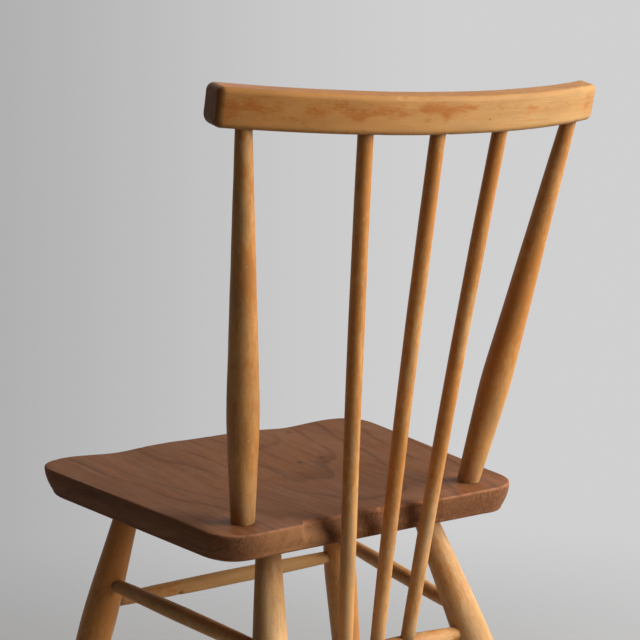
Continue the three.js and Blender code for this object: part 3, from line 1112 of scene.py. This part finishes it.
@dataclass
class Spindles:
    """Three thin bowed sticks from the crest rail, behind the seat, to the rear stretcher."""

    rail: CrestRail
    stretchers: Stretchers
    head_spacing: float = 64.4
    foot_spacing: float = 31.4
    foot_setback: float = 1.5
    middle: float = 13.0
    end: float = 12.0
    bow: float = 2.4
    seed: int = 500
    places: dict[str, int] = field(default_factory=lambda: {"left": 1, "centre": 0, "right": -1})

    def spindle(self, place: int) -> Stick:
        """One spindle.

        Args:
            place: One for the left, nought for the centre, minus one for the right.

        Returns:
            The stick.
        """
        rear = self.stretchers.rear()
        axis = (rear.foot + rear.head) / 2.0
        socket = np.array([place * self.foot_spacing, axis[1] + self.foot_setback, axis[2]])
        across = place * self.head_spacing
        behind = self.rail.middle_line(across)
        head = self.rail.point(np.array(float(across)), np.array(behind), np.array(0.0))
        share = 0.5 - socket[0] / rear.length
        radius = float(rear.profile(np.array(share))) / 2.0
        foot = socket + unit(head - socket) * radius
        profile = barrel(self.end, self.middle)
        return Stick(
            foot,
            head,
            profile,
            self.seed + place,
            bow=self.bow,
            coat=lambda along: 0.42 + 0.24 * along,
            glaze=lambda along: 0.42 + 0.2 * along,
            rubbing=lambda along: 0.8 * bump(along - 0.23, 0.05) + 0.6 * bump(along, 0.06),
        )

    def build(self, workshop: Workshop) -> None:
        """Places the three spindles."""
        for word, place in self.places.items():
            workshop.place(f"spindle_{word}", Slot.BEECH, self.spindle(place).skin())


# Finishes


class Graph:
    """A node tree being drawn: adds nodes and joins their sockets."""

    def __init__(self, tree: bpy.types.NodeTree) -> None:
        """Keeps the tree and starts it empty."""
        self.tree = tree
        tree.nodes.clear()

    def feed(self, socket: bpy.types.NodeSocket, value: object) -> None:
        """Links an input to another node's output, or sets its plain value."""
        if isinstance(value, bpy.types.NodeSocket):
            self.tree.links.new(value, socket)
        else:
            socket.default_value = value

    def node(
        self, kind: str, inputs: dict[str | int, object] | None = None, **settings: object
    ) -> bpy.types.Node:
        """Adds a node.

        Args:
            kind: Blender's node type.
            inputs: Values or sockets by input name or place.
            settings: The node's own settings.

        Returns:
            The node.
        """
        made = self.tree.nodes.new(kind)
        for key, value in settings.items():
            setattr(made, key, value)
        for key, value in (inputs or {}).items():
            self.feed(made.inputs[key], value)
        return made

    def math(self, operation: str, first: object, second: object = 0.0) -> bpy.types.NodeSocket:
        """One sum on one or two values."""
        return self.node("ShaderNodeMath", {0: first, 1: second}, operation=operation).outputs[0]

    def times(self, first: object, second: object) -> bpy.types.NodeSocket:
        """The product of two values."""
        return self.math("MULTIPLY", first, second)

    def plus(self, first: object, second: object) -> bpy.types.NodeSocket:
        """The sum of two values."""
        return self.math("ADD", first, second)

    def less(self, first: object, second: object) -> bpy.types.NodeSocket:
        """The first value less the second."""
        return self.math("SUBTRACT", first, second)

    def group(self, tree: bpy.types.NodeTree, inputs: dict[str, object]) -> bpy.types.NodeOutputs:
        """Places a shared effect with its own values, and gives its outputs."""
        return self.node("ShaderNodeGroup", inputs, node_tree=tree).outputs

    def end_varnished(self, surface: dict[str, object], height: object, strength: float) -> None:
        """Ends a material with a coated surface in shallow relief.

        Args:
            surface: Values or sockets of the coated surface, by input name.
            height: Height of the relief.
            strength: How strongly it shows.
        """
        inputs = {"Strength": strength, "Distance": RELIEF_DEPTH, "Height": height}
        relief = self.node("ShaderNodeBump", inputs)
        shader = self.node("ShaderNodeBsdfPrincipled", {**surface, "Normal": relief.outputs[0]})
        self.node("ShaderNodeOutputMaterial", {"Surface": shader.outputs[0]})

    def band(self, value: object, low: object, high: object) -> bpy.types.NodeSocket:
        """A smooth step of a value from nought at low to one at high."""
        inputs = {"Value": value, "From Min": low, "From Max": high}
        made = self.node("ShaderNodeMapRange", inputs, interpolation_type="SMOOTHSTEP")
        return made.outputs["Result"]

    def mix(self, share: object, first: object, second: object, mode: str = "MIX") -> bpy.types.NodeSocket:
        """Blends two colours."""
        inputs = {0: share, 6: first, 7: second}
        made = self.node("ShaderNodeMix", inputs, data_type="RGBA", blend_type=mode)
        return made.outputs[2]

    def scaled(self, vector: object, factors: tuple[float, float, float]) -> bpy.types.NodeSocket:
        """A vector times one factor for each axis."""
        made = self.node("ShaderNodeVectorMath", {0: vector, 1: factors}, operation="MULTIPLY")
        return made.outputs[0]

    def noise(
        self, vector: object, reach: tuple[float, float, float], detail: float = 2.0, rough: float = 0.5
    ) -> bpy.types.NodeSocket:
        """Cloudy noise with its own reach along each axis, in millimetres."""
        factors = tuple(1.0 / length for length in reach)
        inputs = {"Vector": self.scaled(vector, factors), "Scale": 1.0, "Detail": detail, "Roughness": rough}
        return self.node("ShaderNodeTexNoise", inputs).outputs[0]

    def mark(self, name: str, vector: bool = False) -> bpy.types.NodeSocket:
        """A value that the mesh carries at its points."""
        made = self.node("ShaderNodeAttribute", attribute_name=name)
        return made.outputs["Vector" if vector else "Fac"]


def new_group(
    name: str, inputs: dict[str, str], outputs: list[str]
) -> tuple[Graph, dict[str, bpy.types.NodeSocket], bpy.types.Node]:
    """Starts a shader node group.

    Args:
        name: The group's name.
        inputs: Socket types by input name.
        outputs: Names of its values.

    Returns:
        The graph, its inputs by name and its output node.
    """
    tree = bpy.data.node_groups.new(name, "ShaderNodeTree")
    for word, kind in inputs.items():
        tree.interface.new_socket(word, in_out="INPUT", socket_type=kind)
    for word in outputs:
        tree.interface.new_socket(word, in_out="OUTPUT", socket_type="NodeSocketFloat")
    graph = Graph(tree)
    entry = graph.node("NodeGroupInput")
    leave = graph.node("NodeGroupOutput")
    return graph, {word: entry.outputs[word] for word in inputs}, leave


FLOAT = "NodeSocketFloat"
VECTOR = "NodeSocketVector"


def figure_group() -> bpy.types.NodeTree:
    """The figure of wood: growth rings, streaks along the grain, and short flecks.

    Rings are the distance from a leaning pith line, bent by slow noise, cut into bands that
    darken slowly and end sharply. Streaks are noise drawn out along the grain.

    Returns:
        The group.
    """
    inputs = {"Grain": VECTOR, "Pitch": FLOAT, "Lean": FLOAT, "Sway": FLOAT}
    graph, given, leave = new_group("Wood figure", inputs, ["Rings", "Streaks", "Flecks", "Tone"])
    grain = given["Grain"]
    parts = graph.node("ShaderNodeSeparateXYZ", {0: grain}).outputs
    sway = graph.less(graph.noise(grain, (170.0, 70.0, 70.0), 1.5, 0.4), 0.5)
    sway = graph.times(sway, given["Sway"])
    across = graph.plus(parts[1], sway)
    deep = graph.plus(parts[2], graph.times(parts[0], given["Lean"]))
    deep = graph.plus(deep, graph.times(sway, 0.7))
    squared = graph.plus(graph.math("POWER", graph.math("ABSOLUTE", across), 2.0),
                         graph.math("POWER", graph.math("ABSOLUTE", deep), 2.0))
    ring = graph.math("FRACT", graph.math("DIVIDE", graph.math("SQRT", squared), given["Pitch"]))
    dark = graph.times(graph.band(ring, 0.74, 0.95), graph.less(1.0, graph.band(ring, 0.95, 1.0)))
    patchy = graph.band(graph.noise(grain, (90.0, 30.0, 30.0), 2.0), 0.28, 0.6)
    graph.feed(leave.inputs["Rings"], graph.times(dark, patchy))
    fine = graph.noise(grain, (38.0, 0.9, 0.9), 3.0, 0.6)
    broad = graph.noise(grain, (120.0, 4.5, 4.5), 2.0)
    graph.feed(leave.inputs["Streaks"], graph.plus(graph.times(fine, 0.55), graph.times(broad, 0.45)))
    graph.feed(leave.inputs["Flecks"], graph.band(graph.noise(grain, (2.8, 0.5, 0.5), 1.0), 0.64, 0.74))
    graph.feed(leave.inputs["Tone"], graph.noise(grain, (40.0, 13.0, 13.0), 3.0, 0.55))
    return graph.tree


def coat_group() -> bpy.types.NodeTree:
    """Varnish that has worn off: where it is left, and the lifted line round each patch.

    The amount left is roughened by ragged noise and cut at a half.

    Returns:
        The group.
    """
    inputs = {"Grain": VECTOR, "Left": FLOAT, "Ragged": FLOAT, "Softness": FLOAT}
    graph, given, leave = new_group("Worn coat", inputs, ["Coat", "Rim", "Film"])
    ragged = graph.noise(given["Grain"], (11.0, 4.2, 4.2), 8.0, 0.74)
    scatter = graph.times(graph.less(ragged, 0.5), given["Ragged"])
    left = graph.plus(given["Left"], scatter)
    low = graph.less(0.5, given["Softness"])
    high = graph.plus(0.5, given["Softness"])
    coat = graph.band(left, low, high)
    graph.feed(leave.inputs["Coat"], coat)
    rim = graph.times(coat, graph.less(1.0, coat))
    graph.feed(leave.inputs["Rim"], graph.times(rim, 4.0))
    thick = graph.noise(given["Grain"], (14.0, 5.0, 5.0), 4.0, 0.6)
    graph.feed(leave.inputs["Film"], graph.band(graph.plus(left, graph.less(thick, 0.5)), 0.2, 0.85))
    return graph.tree


def grime_group() -> bpy.types.NodeTree:
    """Dirt: dark by the joints, in dull clouds, and in small dark knocks and pale chips.

    Returns:
        The group.
    """
    inputs = {"Grain": VECTOR, "Joint": FLOAT}
    graph, given, leave = new_group("Grime", inputs, ["Dirt", "Clouds", "Knocks", "Chips"])
    grain = given["Grain"]
    uneven = graph.noise(grain, (9.0, 6.0, 6.0), 4.0, 0.6)
    dirt = graph.times(given["Joint"], graph.band(uneven, 0.2, 0.7))
    graph.feed(leave.inputs["Dirt"], dirt)
    clouds = graph.noise(grain, (46.0, 15.0, 15.0), 5.0, 0.6)
    graph.feed(leave.inputs["Clouds"], graph.band(clouds, 0.48, 0.72))
    graph.feed(leave.inputs["Knocks"], graph.band(graph.noise(grain, (5.0, 2.4, 2.4), 2.0), 0.735, 0.79))
    graph.feed(leave.inputs["Chips"], graph.band(graph.noise(grain, (4.6, 2.1, 2.1), 2.0, 0.6), 0.69, 0.73))
    return graph.tree


@dataclass
class Groups:
    """The shared effects, built once."""

    figure: bpy.types.NodeTree = field(default_factory=figure_group)
    coat: bpy.types.NodeTree = field(default_factory=coat_group)
    grime: bpy.types.NodeTree = field(default_factory=grime_group)


@dataclass(frozen=True)
class BeechFinish:
    """Turned or bent beech under amber varnish that has worn through.

    Attributes:
        name: The material's name.
        bare: Colour of worn wood.
        bare_tan: Colour of its darker streaks.
        amber: Colour under a thin film of varnish.
        deep_amber: Colour under a thick film.
        ragged: How ragged the patches are.
        softness: Half-width of the patches' edges.
        dulling: How far dull clouds show.
    """

    name: str
    bare: Colour = (0.71, 0.445, 0.225, 1.0)
    bare_tan: Colour = (0.63, 0.34, 0.13, 1.0)
    amber: Colour = (0.60, 0.285, 0.082, 1.0)
    deep_amber: Colour = (0.52, 0.20, 0.042, 1.0)
    dirt: Colour = (0.07, 0.035, 0.016, 1.0)
    dull: Colour = (0.30, 0.185, 0.095, 1.0)
    rubbed: Colour = (0.40, 0.265, 0.15, 1.0)
    chip: Colour = (0.78, 0.54, 0.28, 1.0)
    knock: Colour = (0.14, 0.055, 0.018, 1.0)
    end_wood: Colour = (0.18, 0.066, 0.022, 1.0)
    ragged: float = 1.7
    softness: float = 0.22
    dulling: float = 0.4
    coat_roughness: float = 0.32
    specular: float = 0.16
    relief: float = 0.3

    def material(self, groups: Groups) -> bpy.types.Material:
        """Draws the finish.

        Args:
            groups: The shared effects.

        Returns:
            The material.
        """
        made = bpy.data.materials.new(self.name)
        made.use_nodes = True
        graph = Graph(made.node_tree)
        grain = graph.mark("grain", vector=True)
        figure = graph.group(groups.figure, {"Grain": grain, "Pitch": 6.5, "Lean": 0.04, "Sway": 16.0})
        worn = graph.less(graph.mark("coat"), graph.times(graph.mark("edge"), 0.45))
        wear = {"Grain": grain, "Left": worn, "Ragged": self.ragged, "Softness": self.softness}
        coat = graph.group(groups.coat, wear)
        grime = graph.group(groups.grime, {"Grain": grain, "Joint": graph.mark("joint")})

        streaks = graph.band(figure["Streaks"], 0.36, 0.64)
        bare = graph.mix(streaks, self.bare, self.bare_tan)
        bare = graph.mix(graph.times(figure["Rings"], 0.3), bare, self.bare_tan)
        bare = graph.mix(graph.mark("glaze"), bare, self.amber)
        film = graph.mix(coat["Film"], self.amber, self.deep_amber)
        film = graph.mix(graph.times(streaks, 0.35), film, self.deep_amber)
        colour = graph.mix(graph.times(coat["Coat"], 0.95), bare, film)
        colour = graph.mix(graph.times(coat["Rim"], 0.12), colour, self.deep_amber)
        flecks = graph.times(figure["Flecks"], 0.45)
        colour = graph.mix(flecks, colour, self.deep_amber)
        shade = graph.plus(0.8, graph.times(figure["Tone"], 0.4))
        grey = graph.node("ShaderNodeCombineColor", {0: shade, 1: shade, 2: shade}).outputs[0]
        colour = graph.mix(1.0, colour, grey, "MULTIPLY")
        thin = graph.less(1.0, graph.times(coat["Coat"], 0.6))
        clouds = graph.times(graph.times(grime["Clouds"], thin), self.dulling)
        colour = graph.mix(clouds, colour, self.dull)
        patchy = graph.band(graph.noise(grain, (12.0, 5.0, 5.0), 4.0, 0.6), 0.35, 0.65)
        rubbed = graph.times(graph.times(graph.mark("rubbing"), patchy), 0.6)
        colour = graph.mix(rubbed, colour, self.rubbed)
        chips = graph.times(grime["Chips"], coat["Coat"])
        colour = graph.mix(graph.times(chips, 0.7), colour, self.chip)
        colour = graph.mix(graph.times(grime["Knocks"], 0.75), colour, self.knock)
        colour = graph.mix(graph.times(graph.mark("end"), 0.75), colour, self.end_wood)
        colour = graph.mix(graph.times(grime["Dirt"], 0.8), colour, self.dirt)

        height = graph.plus(graph.times(coat["Coat"], 0.5), graph.times(streaks, -0.22))
        height = graph.plus(height, graph.times(grime["Knocks"], -1.2))
        height = graph.plus(height, graph.times(chips, -0.5))
        rough = graph.less(0.62, graph.times(coat["Coat"], 0.2))
        rough = graph.plus(rough, graph.times(clouds, 0.25))
        gloss = graph.times(coat["Coat"], 0.12)
        surface = {
            "Base Color": colour,
            "Roughness": rough,
            "Specular IOR Level": self.specular,
            "Coat Weight": gloss,
            "Coat Roughness": self.coat_roughness,
        }
        graph.end_varnished(surface, height, self.relief)
        return made


@dataclass(frozen=True)
class ElmFinish:
    """The elm plank under dark satin varnish, dulled by sitting and paler on its arrises."""

    name: str = "Elm in dark satin varnish"
    worn: Colour = (0.185, 0.072, 0.031, 1.0)
    worn_pale: Colour = (0.25, 0.106, 0.047, 1.0)
    kept: Colour = (0.23, 0.080, 0.028, 1.0)
    kept_pale: Colour = (0.33, 0.130, 0.048, 1.0)
    ring: Colour = (0.062, 0.026, 0.015, 1.0)
    arris: Colour = (0.46, 0.195, 0.10, 1.0)
    end_light: Colour = (0.30, 0.138, 0.06, 1.0)
    end_dark: Colour = (0.115, 0.046, 0.02, 1.0)
    rubbed: Colour = (0.47, 0.225, 0.095, 1.0)
    dirt: Colour = (0.035, 0.018, 0.011, 1.0)
    dust: Colour = (0.24, 0.155, 0.10, 1.0)
    pith: tuple[float, float, float] = (0.0, 38.0, -330.0)
    specular: float = 0.05
    relief: float = 0.4
    coat_roughness: float = 0.4

    def material(self, groups: Groups) -> bpy.types.Material:
        """Draws the finish.

        Args:
            groups: The shared effects.

        Returns:
            The material.
        """
        made = bpy.data.materials.new(self.name)
        made.use_nodes = True
        graph = Graph(made.node_tree)
        grain = graph.mark("grain", vector=True)
        centred = graph.node("ShaderNodeVectorMath", {0: grain, 1: self.pith}, operation="ADD").outputs[0]
        figure = graph.group(groups.figure, {"Grain": centred, "Pitch": 23.0, "Lean": 0.3, "Sway": 62.0})
        wear = {"Grain": grain, "Left": graph.mark("coat"), "Ragged": 0.55, "Softness": 0.3}
        coat = graph.group(groups.coat, wear)
        grime = graph.group(groups.grime, {"Grain": grain, "Joint": graph.mark("joint")})

        streaks = graph.band(figure["Streaks"], 0.36, 0.66)
        worn = graph.mix(streaks, self.worn_pale, self.worn)
        kept = graph.mix(streaks, self.kept_pale, self.kept)
        colour = graph.mix(coat["Coat"], worn, kept)
        clouds = graph.times(grime["Clouds"], 0.28)
        colour = graph.mix(clouds, colour, self.dust)
        colour = graph.mix(graph.times(figure["Rings"], 0.44), colour, self.ring)
        speckle = graph.noise(grain, (60.0, 1.3, 2.4), 3.0, 0.6)
        end = graph.mix(graph.band(speckle, 0.3, 0.7), self.end_dark, self.end_light)
        mottle = graph.noise(grain, (60.0, 8.0, 6.0), 3.0, 0.6)
        end = graph.mix(graph.times(graph.band(mottle, 0.4, 0.62), 0.6), end, self.worn)
        bared = graph.times(graph.mark("rubbed"), graph.band(mottle, 0.08, 0.6))
        end = graph.mix(graph.times(bared, 0.75), end, self.rubbed)
        colour = graph.mix(graph.times(graph.mark("end"), 0.85), colour, end)
        rubbed = graph.band(graph.noise(grain, (11.0, 7.0, 7.0), 4.0, 0.6), 0.3, 0.62)
        edge = graph.times(graph.band(graph.mark("edge"), 0.35, 1.0), rubbed)
        colour = graph.mix(graph.times(edge, 0.75), colour, self.arris)
        flecks = graph.times(figure["Flecks"], 0.35)
        colour = graph.mix(flecks, colour, self.ring)
        colour = graph.mix(graph.times(grime["Knocks"], 0.3), colour, self.ring)
        # Darkens the knots, and the spots of painted spindle shade and stain by the rear edge.
        colour = graph.mix(graph.times(graph.mark("stain"), 0.8), colour, self.dirt)
        colour = graph.mix(graph.times(grime["Dirt"], 0.75), colour, self.dirt)

        height = graph.plus(graph.times(figure["Rings"], -0.5), graph.times(streaks, -0.35))
        height = graph.plus(height, graph.times(figure["Flecks"], -0.5))
        rough = graph.plus(0.5, graph.times(figure["Tone"], 0.14))
        rough = graph.less(rough, graph.times(coat["Coat"], 0.12))
        gloss = graph.times(coat["Coat"], 0.05)
        surface = {
            "Base Color": colour,
            "Roughness": rough,
            "Specular IOR Level": self.specular,
            "Coat Weight": gloss,
            "Coat Roughness": self.coat_roughness,
        }
        graph.end_varnished(surface, height, self.relief)
        return made


# The studio


@dataclass
class Studio:
    """A pale floor and backdrop, a large soft lamp to the camera's right, a dim one, and the camera."""

    camera_place: tuple[float, float, float] = (743.53, 1130.8, 764.04)
    yaw: float = math.radians(33.77)
    pitch: float = math.radians(8.03)
    roll: float = math.radians(-0.6)
    focal_share: float = 1579.79 / 640.0
    sensor: float = 36.0
    floor_radius: float = 2.6
    floor_colour: Colour = (0.54, 0.54, 0.54, 1.0)
    backdrop: Colour = (0.63, 0.63, 0.635, 1.0)
    backdrop_shade: Colour = (0.39, 0.385, 0.385, 1.0)
    fill: Colour = (0.043, 0.037, 0.034, 1.0)
    lamp_from: tuple[float, float, float] = (-1.50, 1.40, 1.42)
    lamp_to: tuple[float, float, float] = (0.0, 0.02, 0.52)
    lamp_size: float = 2.0
    lamp_power: float = 94.0
    front_from: tuple[float, float, float] = (0.0, -1.5, 2.0)
    front_power: float = 9.0
    lamp_colour: tuple[float, float, float] = (1.0, 0.985, 0.96)

    def axes(self) -> tuple[Array, Array, Array]:
        """The camera's right, up and forward directions from its yaw, pitch and roll."""
        sin_p, cos_p = math.sin(self.pitch), math.cos(self.pitch)
        forward = np.array([-math.sin(self.yaw) * cos_p, -math.cos(self.yaw) * cos_p, -sin_p])
        right = unit(np.cross(forward, np.array([0.0, 0.0, 1.0])))
        up = np.cross(right, forward)
        sin_r, cos_r = math.sin(self.roll), math.cos(self.roll)
        return cos_r * right + sin_r * up, cos_r * up - sin_r * right, forward

    def add_camera(self) -> None:
        """Adds the camera at the viewing angle, with no shift and no depth of field."""
        lens = bpy.data.cameras.new("camera")
        lens.sensor_fit = "HORIZONTAL"
        lens.sensor_width = self.sensor
        lens.lens = self.sensor * self.focal_share
        camera = bpy.data.objects.new("camera", lens)
        right, up, forward = self.axes()
        matrix = np.eye(4)
        matrix[:3, 0], matrix[:3, 1], matrix[:3, 2] = right, up, -forward
        matrix[:3, 3] = np.array(self.camera_place) * MM
        camera.matrix_world = Matrix(matrix.tolist())
        bpy.context.scene.collection.objects.link(camera)
        bpy.context.scene.camera = camera

    def add_lamp(self, name: str, place: tuple[float, float, float], power: float) -> None:
        """Adds a large soft lamp, aimed at the chair.

        Args:
            name: The lamp's name.
            place: Where it stands, in metres.
            power: Its power, in watts.
        """
        lamp = bpy.data.lights.new(name, "AREA")
        lamp.shape = "SQUARE"
        lamp.size = self.lamp_size
        lamp.energy = power
        lamp.color = self.lamp_colour
        body = bpy.data.objects.new(name, lamp)
        away = unit(np.array(place) - np.array(self.lamp_to))
        side = unit(np.cross(np.array([0.0, 0.0, 1.0]), away))
        matrix = np.eye(4)
        matrix[:3, 0], matrix[:3, 1], matrix[:3, 2] = side, np.cross(away, side), away
        matrix[:3, 3] = place
        body.matrix_world = Matrix(matrix.tolist())
        bpy.context.scene.collection.objects.link(body)

    def backdrop_colour(self, graph: Graph, direction: object) -> bpy.types.NodeSocket:
        """The pale backdrop, which darkens away from the lamp's side.

        Args:
            graph: The world's graph.
            direction: The direction looked in.

        Returns:
            The colour.
        """
        right = tuple(float(part) for part in self.axes()[0])
        dot = graph.node("ShaderNodeVectorMath", {0: direction, 1: right}, operation="DOT_PRODUCT")
        share = graph.band(dot.outputs["Value"], -0.32, 0.1)
        return graph.mix(share, self.backdrop_shade, self.backdrop)

    def set_world(self) -> None:
        """Lights the scene dimly all round, and shows the pale backdrop to the eye and in gloss."""
        world = bpy.data.worlds.new("studio")
        bpy.context.scene.world = world
        world.use_nodes = True
        graph = Graph(world.node_tree)
        path = graph.node("ShaderNodeLightPath").outputs
        seen = graph.math("MAXIMUM", path["Is Camera Ray"], path["Is Transmission Ray"])
        seen = graph.math("MAXIMUM", seen, path["Is Glossy Ray"])
        direction = graph.node("ShaderNodeTexCoord").outputs["Generated"]
        colour = graph.mix(seen, self.fill, self.backdrop_colour(graph, direction))
        light = graph.node("ShaderNodeBackground", {"Color": colour, "Strength": 1.0})
        graph.node("ShaderNodeOutputWorld", {"Surface": light.outputs[0]})

    def floor_material(self) -> bpy.types.Material:
        """Plain pale floor that fades out into the backdrop away from the chair."""
        made = bpy.data.materials.new("Pale floor")
        made.use_nodes = True
        graph = Graph(made.node_tree)
        place = graph.node("ShaderNodeTexCoord").outputs["Object"]
        far = graph.node("ShaderNodeVectorMath", {0: place}, operation="LENGTH").outputs["Value"]
        fade = graph.band(far, 0.35, 1.5)
        matt = graph.node("ShaderNodeBsdfDiffuse", {"Color": self.floor_colour})
        clear = graph.node("ShaderNodeBsdfTransparent")
        both = graph.node("ShaderNodeMixShader", {0: fade, 1: matt.outputs[0], 2: clear.outputs[0]})
        graph.node("ShaderNodeOutputMaterial", {"Surface": both.outputs[0]})
        return made

    def add_floor(self) -> None:
        """Adds the floor: one flat disc."""
        angle = np.linspace(0.0, 2.0 * math.pi, 96, endpoint=False)
        rim = np.stack([np.cos(angle), np.sin(angle), 0.0 * angle], axis=-1) * self.floor_radius
        mesh = bpy.data.meshes.new("floor")
        mesh.from_pydata(rim.tolist(), [], [list(range(len(rim)))])
        mesh.materials.append(self.floor_material())
        floor = bpy.data.objects.new("floor", mesh)
        bpy.context.scene.collection.objects.link(floor)

    def build(self) -> None:
        """Sets up the whole studio."""
        self.add_camera()
        self.add_lamp("window", self.lamp_from, self.lamp_power)
        self.add_lamp("front_fill", self.front_from, self.front_power)
        self.set_world()
        self.add_floor()
        bpy.context.scene.view_settings.view_transform = "Standard"


def clear_scene() -> None:
    """Removes whatever a new file starts with."""
    for thing in list(bpy.data.objects):
        bpy.data.objects.remove(thing)


def main() -> None:
    """Loads the frame, builds every piece over it, and sets up the studio."""
    logging.basicConfig(level=logging.INFO, format="%(name)s: %(message)s")
    clear_scene()
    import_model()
    seat = Seat()
    offset = np.array([0.0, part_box("seat")[1].y / MM - seat.rear, 0.0])
    groups = Groups()
    materials = {
        Slot.ELM: ElmFinish().material(groups),
        Slot.BEECH: BeechFinish("Beech in amber varnish").material(groups),
        Slot.WORN_BEECH: BeechFinish(
            "Beech with worn varnish",
            bare=(0.57, 0.335, 0.135, 1.0),
            bare_tan=(0.51, 0.265, 0.093, 1.0),
            amber=(0.53, 0.23, 0.058, 1.0),
            deep_amber=(0.45, 0.15, 0.028, 1.0),
            ragged=2.3,
            softness=0.32,
            dulling=0.2,
        ).material(groups),
    }
    workshop = Workshop(offset, materials)
    legs = Legs(seat)
    stretchers = Stretchers(legs)
    posts = Posts(seat)
    rail = CrestRail(posts)
    for assembly in (seat, legs, stretchers, posts, rail, Spindles(rail, stretchers)):
        assembly.build(workshop)
    Studio().build()


if __name__ == "__main__":
    main()
